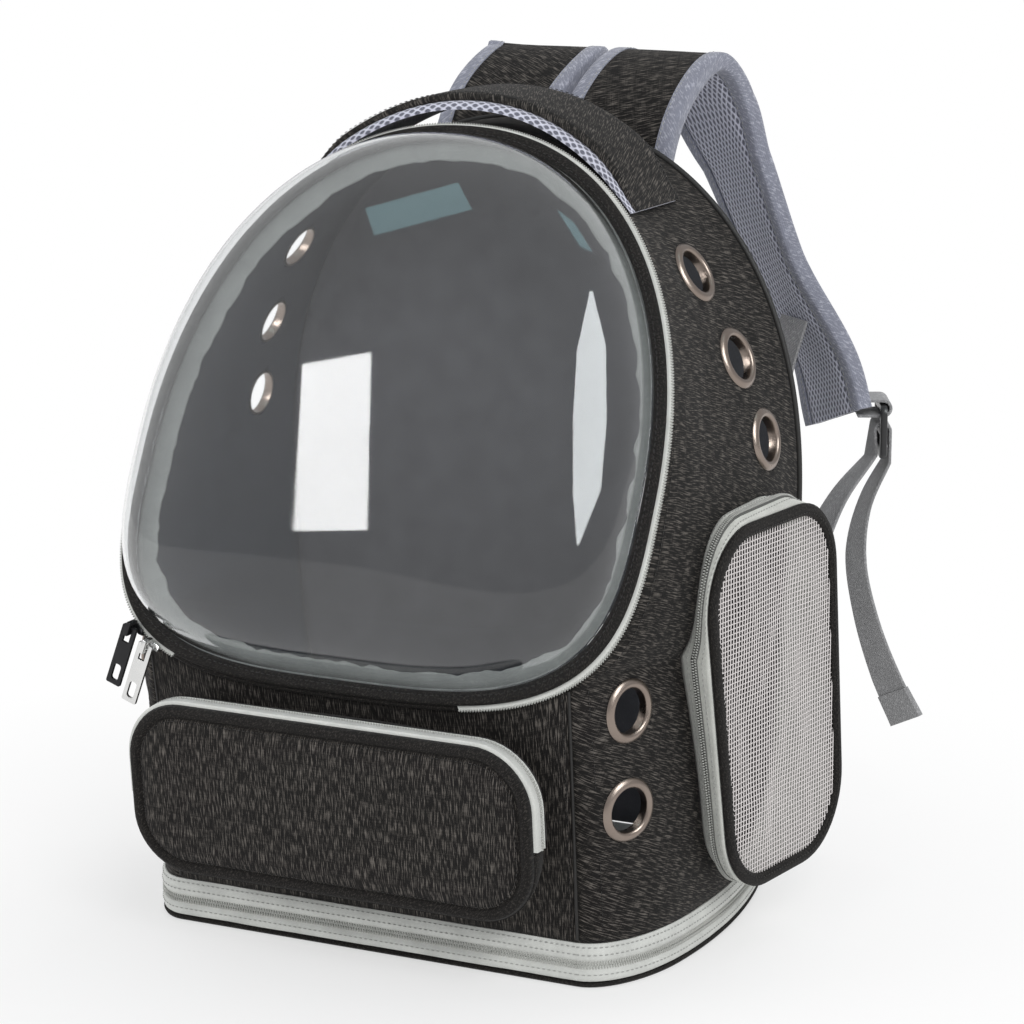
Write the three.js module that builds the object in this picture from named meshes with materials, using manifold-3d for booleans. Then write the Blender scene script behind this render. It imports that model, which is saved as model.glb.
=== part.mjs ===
// Bubble pet carrier backpack, in millimetres.
// +X is the bag's width, -Y the side of the bubble door, +Y the wearer's back, +Z up.
// The origin is the middle of the base, on the surface that the bag stands on.
import * as THREE from 'three';
import { mergeVertices } from 'three/addons/utils/BufferGeometryUtils.js';
import Module from 'manifold-3d';

const wasm = await Module();
wasm.setup();

// Fits and sheet thicknesses
const seatGap = 0.3;
const sewnGap = 0.4;
const cloth = 3;

// Base
const trayThickness = 3;
const trayLip = 1.2;
const bandHeight = 20;
const bandThickness = 4;
const padThickness = 12;
const padInset = 9;

// Body
const bodyHeight = 413;
const footDepth = 190;
const footWidthAtCorner = 292;
const footWidthAtBack = 264;
const frontPanelWidth = 232;
const waistWidth = 310;
const waistHeight = 220;
const archRoundness = 2.2;
const cornerDepth = 55;
const cornerFade = 310;
const backThickness = 4;
const wallSag = 0.055;
const sagFrom = 230;
const sagFull = 350;

// Bubble door, a leaning egg-shaped ring
const doorWidth = 296;
const doorHeight = 304;
const doorWidest = 114;
const doorLean = THREE.MathUtils.degToRad(27);
const doorReach = 29;
const doorFootHeight = 144;
const doorTopRoundness = 2.15;
const doorFootRoundness = 3.4;
const doorSeamAngle = THREE.MathUtils.degToRad(-38);
const zipperWidth = 5;
const zipperDepth = 3;
const zipperPeek = 0.8;
const zipperEndRight = THREE.MathUtils.degToRad(-60);
const zipperEndLeft = THREE.MathUtils.degToRad(226);
const flangeWidth = 7;
const flangeThickness = 2.8;
const domeRise = 70;
const domeCentre = 124;
const domeFullness = 2.6;
const domeWall = 1.3;
const domeSteps = 44;
const bindingInset = 5;
const bindingWidth = 13;
const bindingThickness = 2.5;

// Vents, placed by height and by depth from the middle of the bag
const ventOuter = 33;
const ventInner = 23;
const ventFlange = 2;
const ventBarrel = 1;
const ventSides = 16;
const ventHoleGap = 0.4;
const ventTable = [
  { height: 344, depth: 39 },
  { height: 300, depth: 46 },
  { height: 257, depth: 54 },
  { height: 144, depth: -84 },
  { height: 93, depth: -84 },
];

// Front pocket
const pocketWidth = 229;
const pocketLow = 43;
const pocketHigh = 136;
const pocketRadius = 32;
const pocketReach = 36;
const pocketLean = 0.1;
const pocketRootInset = 13;
const pocketZipperWidth = 9;
const pocketZipperEnd = 84;

// Side pockets: corners as depth and height, the right one open, the left one folded flat
const sideFace = [
  { y: -28, z: 34 },
  { y: 90, z: 34 },
  { y: 72, z: 228 },
  { y: -62, z: 228 },
];
const sideRoot = [
  { y: -14, z: 38 },
  { y: 82, z: 38 },
  { y: 70, z: 230 },
  { y: -56, z: 230 },
];
const sideRadius = 40;
const sideBinding = 6;
const sideOpenFront = 14;
const sideOpenBack = 32;
const sideFolded = 9;
const netThickness = 1.2;
const rootGap = 0.8;
const chainShare = 0.5;
const chainWidth = 4;
const chainThickness = 1.4;
const chainLift = 0.9;

// Carry handle
const handleWidth = 56;
const handleRise = 9;
const handleCloth = 4;
const handlePad = 4.5;
const handleSetBack = 5;
const handleEndAngle = THREE.MathUtils.degToRad(56);
const handleShare = 0.36;
const handleClear = 0;
const handleEndThin = 0.4;
const handleTaper = 0.6;

// Shoulder straps and webbing
const strapWidth = 68;
const strapEndWidth = 58;
const strapCloth = 2.5;
const strapPad = 6;
const strapEdge = 3;
const webWidth = 25;
const webThickness = 1.6;
const lockWidth = 36;
const lockHeight = 30;
const lockThickness = 4;
const lockBar = 4.5;
const anchorWidth = 44;

// Door sliders and pull tabs
const sliderLength = 9;
const sliderWidth = 3.4;
const sliderThickness = 3;
const pullWidth = 8.5;
const pullLength = 33;
const pullSlotWidth = 4.2;
const pullSlotLength = 9;

// Places that follow from the sizes
const frontY = -footDepth / 2;
const backY = footDepth / 2;
const wallFoot = trayThickness + bandHeight + 2 * seatGap;
const doorFoot = new THREE.Vector3(0, frontY - doorReach, doorFootHeight);
const doorUp = new THREE.Vector3(0, Math.sin(doorLean), Math.cos(doorLean));
const doorOut = new THREE.Vector3(0, -Math.cos(doorLean), Math.sin(doorLean));
const across = new THREE.Vector3(1, 0, 0);
const inDepth = new THREE.Vector3(0, 1, 0);
const upright = new THREE.Vector3(0, 0, 1);

// Materials
const finish = (color, roughness, metalness = 0) =>
  new THREE.MeshStandardMaterial({ color, roughness, metalness });
const blackCloth = finish(0x25211f, 0.95);
const greyTape = finish(0xc9cac2, 0.8);
const lavenderWeb = finish(0x9ea0ab, 0.85);
const airMesh = finish(0xb4b5c4, 0.9);
const greyWeb = finish(0x8d8c8d, 0.85);
const clearPlastic = new THREE.MeshStandardMaterial({
  color: 0xe8eef0, roughness: 0.05, transparent: true, opacity: 0.25,
});
const netCloth = finish(0xd8cfcd, 0.8);
const agedNickel = finish(0x8c7c70, 0.35, 1);
const brightMetal = finish(0xd5d5d5, 0.3, 1);
const blackMetal = finish(0x1c1c1e, 0.4, 0.8);
const blackPlastic = finish(0x141416, 0.45);
const padCloth = finish(0xb9b9c6, 0.95);

const bag = new THREE.Group();

// A closed mesh whose faces are turned outwards, added to the bag
function addPiece(name, geometry, material, parent = bag) {
  const mesh = new THREE.Mesh(facingOut(geometry), material);
  mesh.name = name;
  parent.add(mesh);
  return mesh;
}

function facingOut(geometry) {
  const place = geometry.getAttribute('position');
  const index = geometry.getIndex();
  const a = new THREE.Vector3();
  const b = new THREE.Vector3();
  const c = new THREE.Vector3();
  let volume = 0;
  for (let i = 0; i < index.count; i += 3) {
    a.fromBufferAttribute(place, index.getX(i));
    b.fromBufferAttribute(place, index.getX(i + 1));
    c.fromBufferAttribute(place, index.getX(i + 2));
    volume += a.dot(b.cross(c));
  }
  if (volume < 0) {
    for (let i = 0; i < index.count; i += 3) {
      const first = index.getX(i);
      index.setX(i, index.getX(i + 1));
      index.setX(i + 1, first);
    }
  }
  return geometry;
}

function meshFrom(points, faces) {
  const geometry = new THREE.BufferGeometry();
  const place = new Float32Array(points.flatMap((p) => [p.x, p.y, p.z]));
  geometry.setAttribute('position', new THREE.BufferAttribute(place, 3));
  geometry.setIndex(faces.flat());
  return geometry;
}

// A skin through like sections. Each section goes out along one side and back along the other,
// so that the two halves close its ends like a zip, and both skins split their faces the same way.
// A closed loft joins its last section to its first.
function loft(sections, closed = false) {
  const size = sections[0].length;
  const faces = [];
  const at = (section, corner) => (section % sections.length) * size + (corner % size);
  const spans = closed ? sections.length : sections.length - 1;
  for (let i = 0; i < spans; i += 1) {
    for (let j = 0; j < size; j += 1) {
      const corners = [at(i, j), at(i + 1, j), at(i + 1, j + 1), at(i, j + 1)];
      if (j >= size / 2) corners.push(corners.shift());
      faces.push([corners[0], corners[1], corners[2]], [corners[0], corners[2], corners[3]]);
    }
  }
  if (!closed) {
    for (const [section, turned] of [[0, false], [sections.length - 1, true]]) {
      for (let j = 0; j < size / 2 - 1; j += 1) {
        const far = size - 1 - j;
        const first = [at(section, j), at(section, j + 1), at(section, far)];
        const second = [at(section, j + 1), at(section, far - 1), at(section, far)];
        for (const face of [first, second]) faces.push(turned ? face.reverse() : face);
      }
    }
  }
  return meshFrom(sections.flat(), faces);
}

// A curved shell closed at its middle: two sets of rings and two poles, joined at the first ring
function bowl(outerRings, outerPole, innerRings, innerPole) {
  const size = outerRings[0].length;
  const count = outerRings.length;
  const points = [...outerRings.flat(), ...innerRings.flat(), outerPole, innerPole];
  const outer = (ring, i) => ring * size + (i % size);
  const inner = (ring, i) => (count + ring) * size + (i % size);
  const poles = [2 * count * size, 2 * count * size + 1];
  const faces = [];
  for (let i = 0; i < size; i += 1) {
    for (let ring = 0; ring < count - 1; ring += 1) {
      faces.push([outer(ring, i), outer(ring, i + 1), outer(ring + 1, i + 1)]);
      faces.push([outer(ring, i), outer(ring + 1, i + 1), outer(ring + 1, i)]);
      faces.push([inner(ring, i + 1), inner(ring, i), inner(ring + 1, i + 1)]);
      faces.push([inner(ring + 1, i + 1), inner(ring, i), inner(ring + 1, i)]);
    }
    faces.push([outer(count - 1, i), outer(count - 1, i + 1), poles[0]]);
    faces.push([inner(count - 1, i + 1), inner(count - 1, i), poles[1]]);
    faces.push([inner(0, i), inner(0, i + 1), outer(0, i + 1)]);
    faces.push([inner(0, i), outer(0, i + 1), outer(0, i)]);
  }
  return meshFrom(points, faces);
}

// A flat strap of rectangular section: stations give its middle, its width direction and its width
function strapAlong(stations, low, high) {
  const sections = stations.map(({ middle, side, normal, from, to, thin = 1 }) => [
    middle.clone().addScaledVector(side, from).addScaledVector(normal, low * thin),
    middle.clone().addScaledVector(side, to).addScaledVector(normal, low * thin),
    middle.clone().addScaledVector(side, to).addScaledVector(normal, high * thin),
    middle.clone().addScaledVector(side, from).addScaledVector(normal, high * thin),
  ]);
  return loft(sections);
}

function plateFrom(outline, thickness, hole = null) {
  const shape = new THREE.Shape(outline);
  if (hole) shape.holes.push(new THREE.Path(hole));
  return tidied(new THREE.ExtrudeGeometry(shape, { depth: thickness, bevelEnabled: false }));
}

function tidied(geometry) {
  const bare = geometry.clone();
  bare.deleteAttribute('normal');
  bare.deleteAttribute('uv');
  return mergeVertices(bare, 1e-4);
}

function toSolid(geometry) {
  const vertProperties = new Float32Array(geometry.getAttribute('position').array);
  const triVerts = new Uint32Array(facingOut(geometry).getIndex().array);
  return new wasm.Manifold(new wasm.Mesh({ numProp: 3, vertProperties, triVerts }));
}

function fromSolid(solid) {
  const mesh = solid.getMesh();
  const geometry = new THREE.BufferGeometry();
  geometry.setAttribute('position', new THREE.BufferAttribute(new Float32Array(mesh.vertProperties), 3));
  geometry.setIndex([...mesh.triVerts]);
  return geometry;
}

function cut(geometry, tools) {
  let solid = toSolid(geometry);
  for (const tool of tools) solid = solid.subtract(toSolid(tool));
  return fromSolid(solid);
}

const mix = (a, b, share) => a + (b - a) * share;

// A closed outline moved outwards by a distance, or inwards by a negative one
function outset(points, distance) {
  const size = points.length;
  let area = 0;
  points.forEach((p, i) => {
    const q = points[(i + 1) % size];
    area += p.x * q.y - q.x * p.y;
  });
  const turn = area > 0 ? 1 : -1;
  return points.map((p, i) => {
    const before = points[(i + size - 1) % size];
    const after = points[(i + 1) % size];
    const first = new THREE.Vector2(p.y - before.y, before.x - p.x).normalize();
    const second = new THREE.Vector2(after.y - p.y, p.x - after.x).normalize();
    const middle = first.clone().add(second).normalize();
    const reach = (turn * distance) / Math.max(middle.dot(first), 0.5);
    return new THREE.Vector2(p.x + middle.x * reach, p.y + middle.y * reach);
  });
}

// A polygon with rounded corners; every outline made with the same steps has matching points
function roundedOutline(corners, radius, arcSteps, edgeSteps) {
  const points = [];
  corners.forEach((corner, i) => {
    const before = corners[(i + corners.length - 1) % corners.length];
    const after = corners[(i + 1) % corners.length];
    const back = new THREE.Vector2(before.x - corner.x, before.y - corner.y).normalize();
    const ahead = new THREE.Vector2(after.x - corner.x, after.y - corner.y).normalize();
    const half = Math.acos(back.dot(ahead)) / 2;
    const run = radius / Math.tan(half);
    const inwards = back.clone().add(ahead).normalize();
    const centre = new THREE.Vector2(corner.x, corner.y).addScaledVector(inwards, radius / Math.sin(half));
    const start = new THREE.Vector2(corner.x, corner.y).addScaledVector(back, run).sub(centre);
    const end = new THREE.Vector2(corner.x, corner.y).addScaledVector(ahead, run).sub(centre);
    const sweep = Math.atan2(start.x * end.y - start.y * end.x, start.dot(end));
    for (let j = 0; j <= arcSteps; j += 1) {
      points.push(start.clone().rotateAround(new THREE.Vector2(), (sweep * j) / arcSteps).add(centre));
    }
    const nextBack = new THREE.Vector2(corner.x - after.x, corner.y - after.y).normalize();
    const beyond = corners[(i + 2) % corners.length];
    const nextAhead = new THREE.Vector2(beyond.x - after.x, beyond.y - after.y).normalize();
    const nextRun = radius / Math.tan(Math.acos(nextBack.dot(nextAhead)) / 2);
    const edgeEnd = new THREE.Vector2(after.x, after.y).addScaledVector(nextBack, nextRun);
    const edgeStart = points[points.length - 1];
    for (let j = 1; j < edgeSteps; j += 1) points.push(edgeStart.clone().lerp(edgeEnd, j / edgeSteps));
  });
  return points;
}

// The door's outline, by the angle seen from its widest line, set in by a distance
function doorOutline(angle, inset = 0) {
  const cos = Math.cos(angle);
  const sin = Math.sin(angle);
  const half = doorWidth / 2 - inset;
  const reach = (sin >= 0 ? doorHeight - doorWidest : doorWidest) - inset;
  const power = sin >= 0 ? doorTopRoundness : doorFootRoundness;
  const radius = (Math.abs(cos / half) ** power + Math.abs(sin / reach) ** power) ** (-1 / power);
  return { x: radius * cos, up: doorWidest + radius * sin };
}

function doorPlace(x, up, out) {
  return doorFoot.clone().addScaledVector(across, x).addScaledVector(doorUp, up).addScaledVector(doorOut, out);
}

function doorPoint(angle, inset = 0, out = 0) {
  const { x, up } = doorOutline(angle, inset);
  return doorPlace(x, up, out);
}

// The wall's edges, from the foot of the right seam (0) to the top of the bag (1)
const seamShare = 0.22;
const seamFoot = new THREE.Vector3(frontPanelWidth / 2, frontY, wallFoot);
const seamTop = doorPoint(doorSeamAngle);

function wallFrontEdge(t) {
  if (t < seamShare) return seamFoot.clone().lerp(seamTop, t / seamShare);
  return doorPoint(mix(doorSeamAngle, Math.PI / 2, (t - seamShare) / (1 - seamShare)));
}

function backHalfWidth(height) {
  if (height < waistHeight) {
    return mix(footWidthAtBack, waistWidth, Math.sin((Math.PI / 2) * (height / waistHeight))) / 2;
  }
  const share = Math.min((height - waistHeight) / (bodyHeight - waistHeight), 1);
  return (waistWidth / 2) * (1 - share ** archRoundness) ** (1 / archRoundness);
}

function wallBackEdge(t) {
  if (t < seamShare) {
    const height = mix(wallFoot, seamTop.z, t / seamShare);
    return new THREE.Vector3(backHalfWidth(height), backY, height);
  }
  const angle = mix(doorSeamAngle, Math.PI / 2, (t - seamShare) / (1 - seamShare));
  if (angle < 0) {
    const height = mix(waistHeight, seamTop.z, angle / doorSeamAngle);
    return new THREE.Vector3(backHalfWidth(height), backY, height);
  }
  const cos = Math.cos(angle) / (waistWidth / 2);
  const sin = Math.sin(angle) / (bodyHeight - waistHeight);
  const radius = (Math.abs(cos) ** archRoundness + Math.abs(sin) ** archRoundness) ** (-1 / archRoundness);
  return new THREE.Vector3(radius * Math.cos(angle), backY, waistHeight + radius * Math.sin(angle));
}

// The wall rounds the front corner fast and then runs back nearly straight
const cornerShare = cornerDepth / footDepth;
const cornerBulge = (footWidthAtCorner - mix(frontPanelWidth, footWidthAtBack, cornerShare)) / 2;

function wallPoint(t, s) {
  const point = wallFrontEdge(t).lerp(wallBackEdge(t), s);
  const fade = THREE.MathUtils.smoothstep(wallFrontEdge(t).z - wallFoot, 0, cornerFade);
  const round = s < cornerShare
    ? Math.sqrt(1 - (1 - s / cornerShare) ** 2)
    : 1 - ((s - cornerShare) / (1 - cornerShare)) ** 2;
  point.x += cornerBulge * (1 - fade) * round;
  point.x *= 1 - wallSag * Math.sin(Math.PI * s) * THREE.MathUtils.smoothstep(point.z, sagFrom, sagFull);
  return point;
}

function wallInward(t, s) {
  if (s === 0 && t <= seamShare) return inDepth.clone();
  const step = 0.004;
  const along = wallPoint(Math.min(t + step, 1), s).sub(wallPoint(Math.max(t - step, 0), s));
  const back = wallPoint(t, Math.min(s + step, 1)).sub(wallPoint(t, Math.max(s - step, 0)));
  const inward = along.cross(back).normalize();
  if (t > 1 - step) inward.setX(0).normalize();
  if (s === 1) inward.setY(0).normalize();
  return inward;
}

// The place on the right half of the wall at a depth and a height
function wallAt(depth, height) {
  const step = 1e-3;
  let t = mix(0.02, 0.7, (height - wallFoot) / (bodyHeight - wallFoot));
  let s = (depth - frontY) / footDepth;
  for (let i = 0; i < 30; i += 1) {
    const here = wallPoint(t, s);
    const byT = wallPoint(t + step, s).sub(here).divideScalar(step);
    const byS = wallPoint(t, s + step).sub(here).divideScalar(step);
    const missY = depth - here.y;
    const missZ = height - here.z;
    const scale = byT.y * byS.z - byS.y * byT.z;
    t = THREE.MathUtils.clamp(t + (missY * byS.z - missZ * byS.y) / scale, 0.001, 0.995);
    s = THREE.MathUtils.clamp(s + (missZ * byT.y - missY * byT.z) / scale, 0.001, 0.995);
  }
  return { point: wallPoint(t, s), inward: wallInward(t, s) };
}

const mirrored = (point) => new THREE.Vector3(-point.x, point.y, point.z);

// Wall stations, dense round the front corner
const seamSteps = 4;
const archSteps = 21;
const cornerSteps = 5;
const sideSteps = 4;
const alongShares = [];
for (let i = 0; i < seamSteps; i += 1) alongShares.push((seamShare * i) / seamSteps);
for (let i = 0; i <= archSteps; i += 1) alongShares.push(mix(seamShare, 1, i / archSteps));
const depthShares = [];
for (let i = 0; i < cornerSteps; i += 1) {
  depthShares.push(cornerShare * (1 - Math.cos((Math.PI / 2) * (i / cornerSteps))));
}
for (let i = 0; i <= sideSteps; i += 1) depthShares.push(mix(cornerShare, 1, i / sideSteps));

function wallSection(t) {
  const outer = depthShares.map((s) => wallPoint(t, s));
  const inner = depthShares.map((s) => wallPoint(t, s).addScaledVector(wallInward(t, s), cloth));
  return [...outer, ...inner.reverse()];
}

// Vents: a metal ring and barrel in a round hole through the wall
function ventPlaces() {
  const places = [];
  for (const [side, flip] of [['right', false], ['left', true]]) {
    ventTable.forEach(({ height, depth }, i) => {
      const { point, inward } = wallAt(depth, height);
      const out = inward.clone().negate();
      places.push({
        name: `vent_ring_${side}_${i + 1}`,
        point: flip ? mirrored(point) : point,
        out: flip ? mirrored(out) : out,
      });
    });
  }
  return places;
}

// The round hole, and a flat seat for the ring's flange where the wall bulges
function ventTools({ point, out }) {
  const holeRadius = ventInner / 2 + ventBarrel + ventHoleGap;
  const seatRadius = ventOuter / 2 + ventHoleGap;
  const reach = 6 * cloth;
  return [
    turnedTo(new THREE.CylinderGeometry(holeRadius, holeRadius, 2 * reach, ventSides), point, out),
    turnedTo(new THREE.CylinderGeometry(seatRadius, seatRadius, reach, ventSides).translate(0, reach / 2, 0), point, out),
  ];
}

function turnedTo(geometry, point, out) {
  const turn = new THREE.Quaternion().setFromUnitVectors(inDepth, out);
  return tidied(geometry).applyQuaternion(turn).translate(point.x, point.y, point.z);
}

function ventRing({ name, point, out }) {
  const hole = ventInner / 2;
  const rim = ventOuter / 2;
  const profile = [
    [hole, -cloth - seatGap],
    [hole + ventBarrel, -cloth - seatGap],
    [hole + ventBarrel, seatGap],
    [rim, seatGap],
    [rim, seatGap + ventFlange / 2],
    [(hole + rim) / 2, seatGap + ventFlange],
    [hole, seatGap + ventFlange / 2],
    [hole, -cloth - seatGap],
  ].map(([r, y]) => new THREE.Vector2(r, y));
  const ring = turnedTo(new THREE.LatheGeometry(profile, ventSides), point, out);
  addPiece(name, ring, agedNickel);
}

const rightSections = alongShares.map(wallSection);
const leftSections = alongShares.slice(0, -1).map((t) => wallSection(t).map(mirrored)).reverse();
const vents = ventPlaces();
addPiece('side_top_wall', cut(loft([...rightSections, ...leftSections]), vents.flatMap(ventTools)), blackCloth);
vents.forEach(ventRing);

// Footprint of the wall, used by the tray, the zipped band and the floor pad
function footprint() {
  const right = depthShares.map((s) => wallPoint(0, s)).map((p) => new THREE.Vector2(p.x, p.y));
  const left = right.map((p) => new THREE.Vector2(-p.x, p.y)).reverse();
  return [...right, ...left];
}

function layFlat(outline, bottom, thickness, hole = null) {
  return plateFrom(outline, thickness, hole).translate(0, 0, bottom);
}

const bandBottom = trayThickness + seatGap;
addPiece('base_tray', layFlat(outset(footprint(), trayLip), 0, trayThickness), blackCloth);
addPiece(
  'base_zip_band',
  layFlat(outset(footprint(), 1), bandBottom, bandHeight, outset(footprint(), 1 - bandThickness)),
  greyTape,
);
addPiece('floor_pad', layFlat(outset(footprint(), -padInset), bandBottom, padThickness), padCloth);

// Back panel, closing the wall's rear edge
function backOutline() {
  const edge = alongShares.map(wallBackEdge);
  const right = edge.map((p) => new THREE.Vector2(p.x, p.z));
  const left = edge.slice(0, -1).map((p) => new THREE.Vector2(-p.x, p.z)).reverse();
  return [...right, ...left];
}

function standing(outline, y, thickness) {
  return plateFrom(outline, thickness).rotateX(Math.PI / 2).translate(0, y + thickness, 0);
}

const backPlane = backY + seatGap + backThickness;
addPiece('back_panel', standing(backOutline(), backY + seatGap, backThickness), blackCloth);

// Front panel, from the foot up to the door's lower edge
const panelHalf = frontPanelWidth / 2;
const panelShrink = (panelHalf - sewnGap) / panelHalf;

function panelTop(share) {
  const angle = mix(-Math.PI / 2, doorSeamAngle, Math.abs(share));
  const point = doorPoint(angle);
  point.x *= Math.sign(share) * panelShrink;
  return point;
}

function panelPoint(share, height) {
  const foot = new THREE.Vector3(panelHalf * panelShrink * share, frontY, wallFoot);
  return foot.lerp(panelTop(share), height);
}

// The front panel's outer face at a place seen from the front
function panelDepth(x, z) {
  let share = x / panelHalf;
  for (let i = 0; i < 12; i += 1) {
    const top = panelTop(share);
    const height = (z - wallFoot) / (top.z - wallFoot);
    share += (x - panelPoint(share, height).x) / panelHalf;
  }
  return panelPoint(share, (z - wallFoot) / (panelTop(share).z - wallFoot)).y;
}

const panelShares = [];
for (let i = -12; i <= 12; i += 1) panelShares.push(i / 12);
const panelHeights = [0, 0.33, 0.67, 1];
const panelSections = panelShares.map((share) => {
  const outer = panelHeights.map((h) => panelPoint(share, h));
  const inner = outer.map((p) => p.clone().addScaledVector(inDepth, cloth));
  return [...outer, ...inner.reverse()];
});
addPiece('front_panel', loft(panelSections), blackCloth);

// Door frame: sections between two insets and two heights above the door's plane
function doorBand(insets, outs, from, to, steps) {
  const full = to - from > 2 * Math.PI - 1e-6;
  const sections = [];
  for (let i = 0; i < (full ? steps : steps + 1); i += 1) {
    const angle = mix(from, to, i / steps);
    sections.push([
      doorPoint(angle, insets[0], outs[0]),
      doorPoint(angle, insets[1], outs[0]),
      doorPoint(angle, insets[1], outs[1]),
      doorPoint(angle, insets[0], outs[1]),
    ]);
  }
  return loft(sections, full);
}

const fullTurn = 2 * Math.PI;
const endGap = sewnGap / (doorWidth / 2);
const zipperOuts = [seatGap, seatGap + zipperDepth];
const zipperInsets = [-zipperPeek, zipperWidth - zipperPeek];
addPiece('door_zipper', doorBand(zipperInsets, zipperOuts, zipperEndRight, zipperEndLeft, 64), greyTape);
addPiece(
  'door_hinge_strip',
  doorBand(zipperInsets, zipperOuts, zipperEndLeft + endGap, zipperEndRight + fullTurn - endGap, 10),
  blackCloth,
);
const flangeBottom = zipperOuts[1] + seatGap;
const flangeInsets = [0.6, 0.6 + flangeWidth];
const flangeOuts = [flangeBottom, flangeBottom + flangeThickness];
addPiece('door_flange', doorBand(flangeInsets, flangeOuts, 0, fullTurn, domeSteps), blackCloth);
const bindingInsets = [bindingInset, bindingInset + bindingWidth];
const bindingOuts = [-bindingThickness - seatGap, -seatGap];
addPiece('door_inner_binding', doorBand(bindingInsets, bindingOuts, 0, fullTurn, domeSteps), greyTape);

// Dome, blown from one clear sheet
const domeInset = flangeInsets[1] + sewnGap;
const domeShares = [1, 0.985, 0.93, 0.83, 0.66, 0.4];

function domePlace(angle, share, wall) {
  const { x, up } = doorOutline(angle, domeInset + wall);
  const height = (domeRise - wall) * (1 - share ** 2) ** (1 / domeFullness);
  return doorPlace(x * share, domeCentre + (up - domeCentre) * share, flangeBottom + height);
}

function domeRings(wall) {
  return domeShares.map((share) => {
    const ring = [];
    for (let i = 0; i < domeSteps; i += 1) ring.push(domePlace((fullTurn * i) / domeSteps, share, wall));
    return ring;
  });
}

addPiece(
  'dome',
  bowl(domeRings(0), domePlace(0, 0, 0), domeRings(domeWall), domePlace(0, 0, domeWall)),
  clearPlastic,
);

// Front pocket
const pocketFaceY = (z) => frontY - doorReach / 2 - pocketReach - pocketLean * (z - (pocketLow + pocketHigh) / 2);
const pocketCorners = (inset) => [
  { x: pocketWidth / 2 - inset, y: pocketLow + inset / 3 },
  { x: pocketWidth / 2 - inset, y: pocketHigh - inset / 3 },
  { x: -pocketWidth / 2 + inset, y: pocketHigh - inset / 3 },
  { x: -pocketWidth / 2 + inset, y: pocketLow + inset / 3 },
];
const pocketOutline = roundedOutline(pocketCorners(0), pocketRadius, 5, 4);
const pocketRoot = roundedOutline(pocketCorners(pocketRootInset), pocketRadius, 5, 4);

function pocketPlace(spot, behindFace) {
  return new THREE.Vector3(spot.x, pocketFaceY(spot.y) + behindFace, spot.y);
}

function rootPlace(spot) {
  return new THREE.Vector3(spot.x, panelDepth(spot.x, spot.y) - seatGap, spot.y);
}

function flatPlate(front, back) {
  const size = front.length;
  const shape = THREE.ShapeUtils.triangulateShape(front.map((p) => new THREE.Vector2(p.x, p.z)), []);
  const faces = [];
  for (const [a, b, c] of shape) {
    faces.push([a, b, c]);
    faces.push([size + a, size + c, size + b]);
  }
  for (let i = 0; i < size; i += 1) {
    const next = (i + 1) % size;
    faces.push([i, size + next, next]);
    faces.push([i, size + i, size + next]);
  }
  return meshFrom([...front, ...back], faces);
}

addPiece(
  'front_pocket_face',
  flatPlate(
    pocketOutline.map((spot) => pocketPlace(spot, 0)),
    pocketOutline.map((spot) => pocketPlace(spot, cloth)),
  ),
  blackCloth,
);

// The zipper sits in a notch of the gusset, over the top and down both sides
const innerOutline = outset(pocketOutline, -cloth);
const innerRoot = outset(pocketRoot, -cloth);
const zipped = (spot) => spot.y > pocketZipperEnd;
const gussetSections = pocketOutline.map((spot, i) => {
  const behind = cloth + seatGap + (zipped(spot) ? pocketZipperWidth + seatGap : 0);
  return [
    rootPlace(pocketRoot[i]),
    pocketPlace(spot, behind),
    pocketPlace(innerOutline[i], behind),
    rootPlace(innerRoot[i]),
  ];
});
addPiece('front_pocket_gusset', loft(gussetSections, true), blackCloth);
const zippedIndices = pocketOutline.map((spot, i) => i).filter((i) => zipped(pocketOutline[i]));
const tapeOutline = outset(pocketOutline, 1);
const zipSections = zippedIndices.map((i) => [
  pocketPlace(tapeOutline[i], cloth + seatGap),
  pocketPlace(tapeOutline[i], cloth + seatGap + pocketZipperWidth),
  pocketPlace(innerOutline[i], cloth + seatGap + pocketZipperWidth),
  pocketPlace(innerOutline[i], cloth + seatGap),
]);
addPiece('front_pocket_zipper', loft(zipSections), greyTape);

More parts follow.
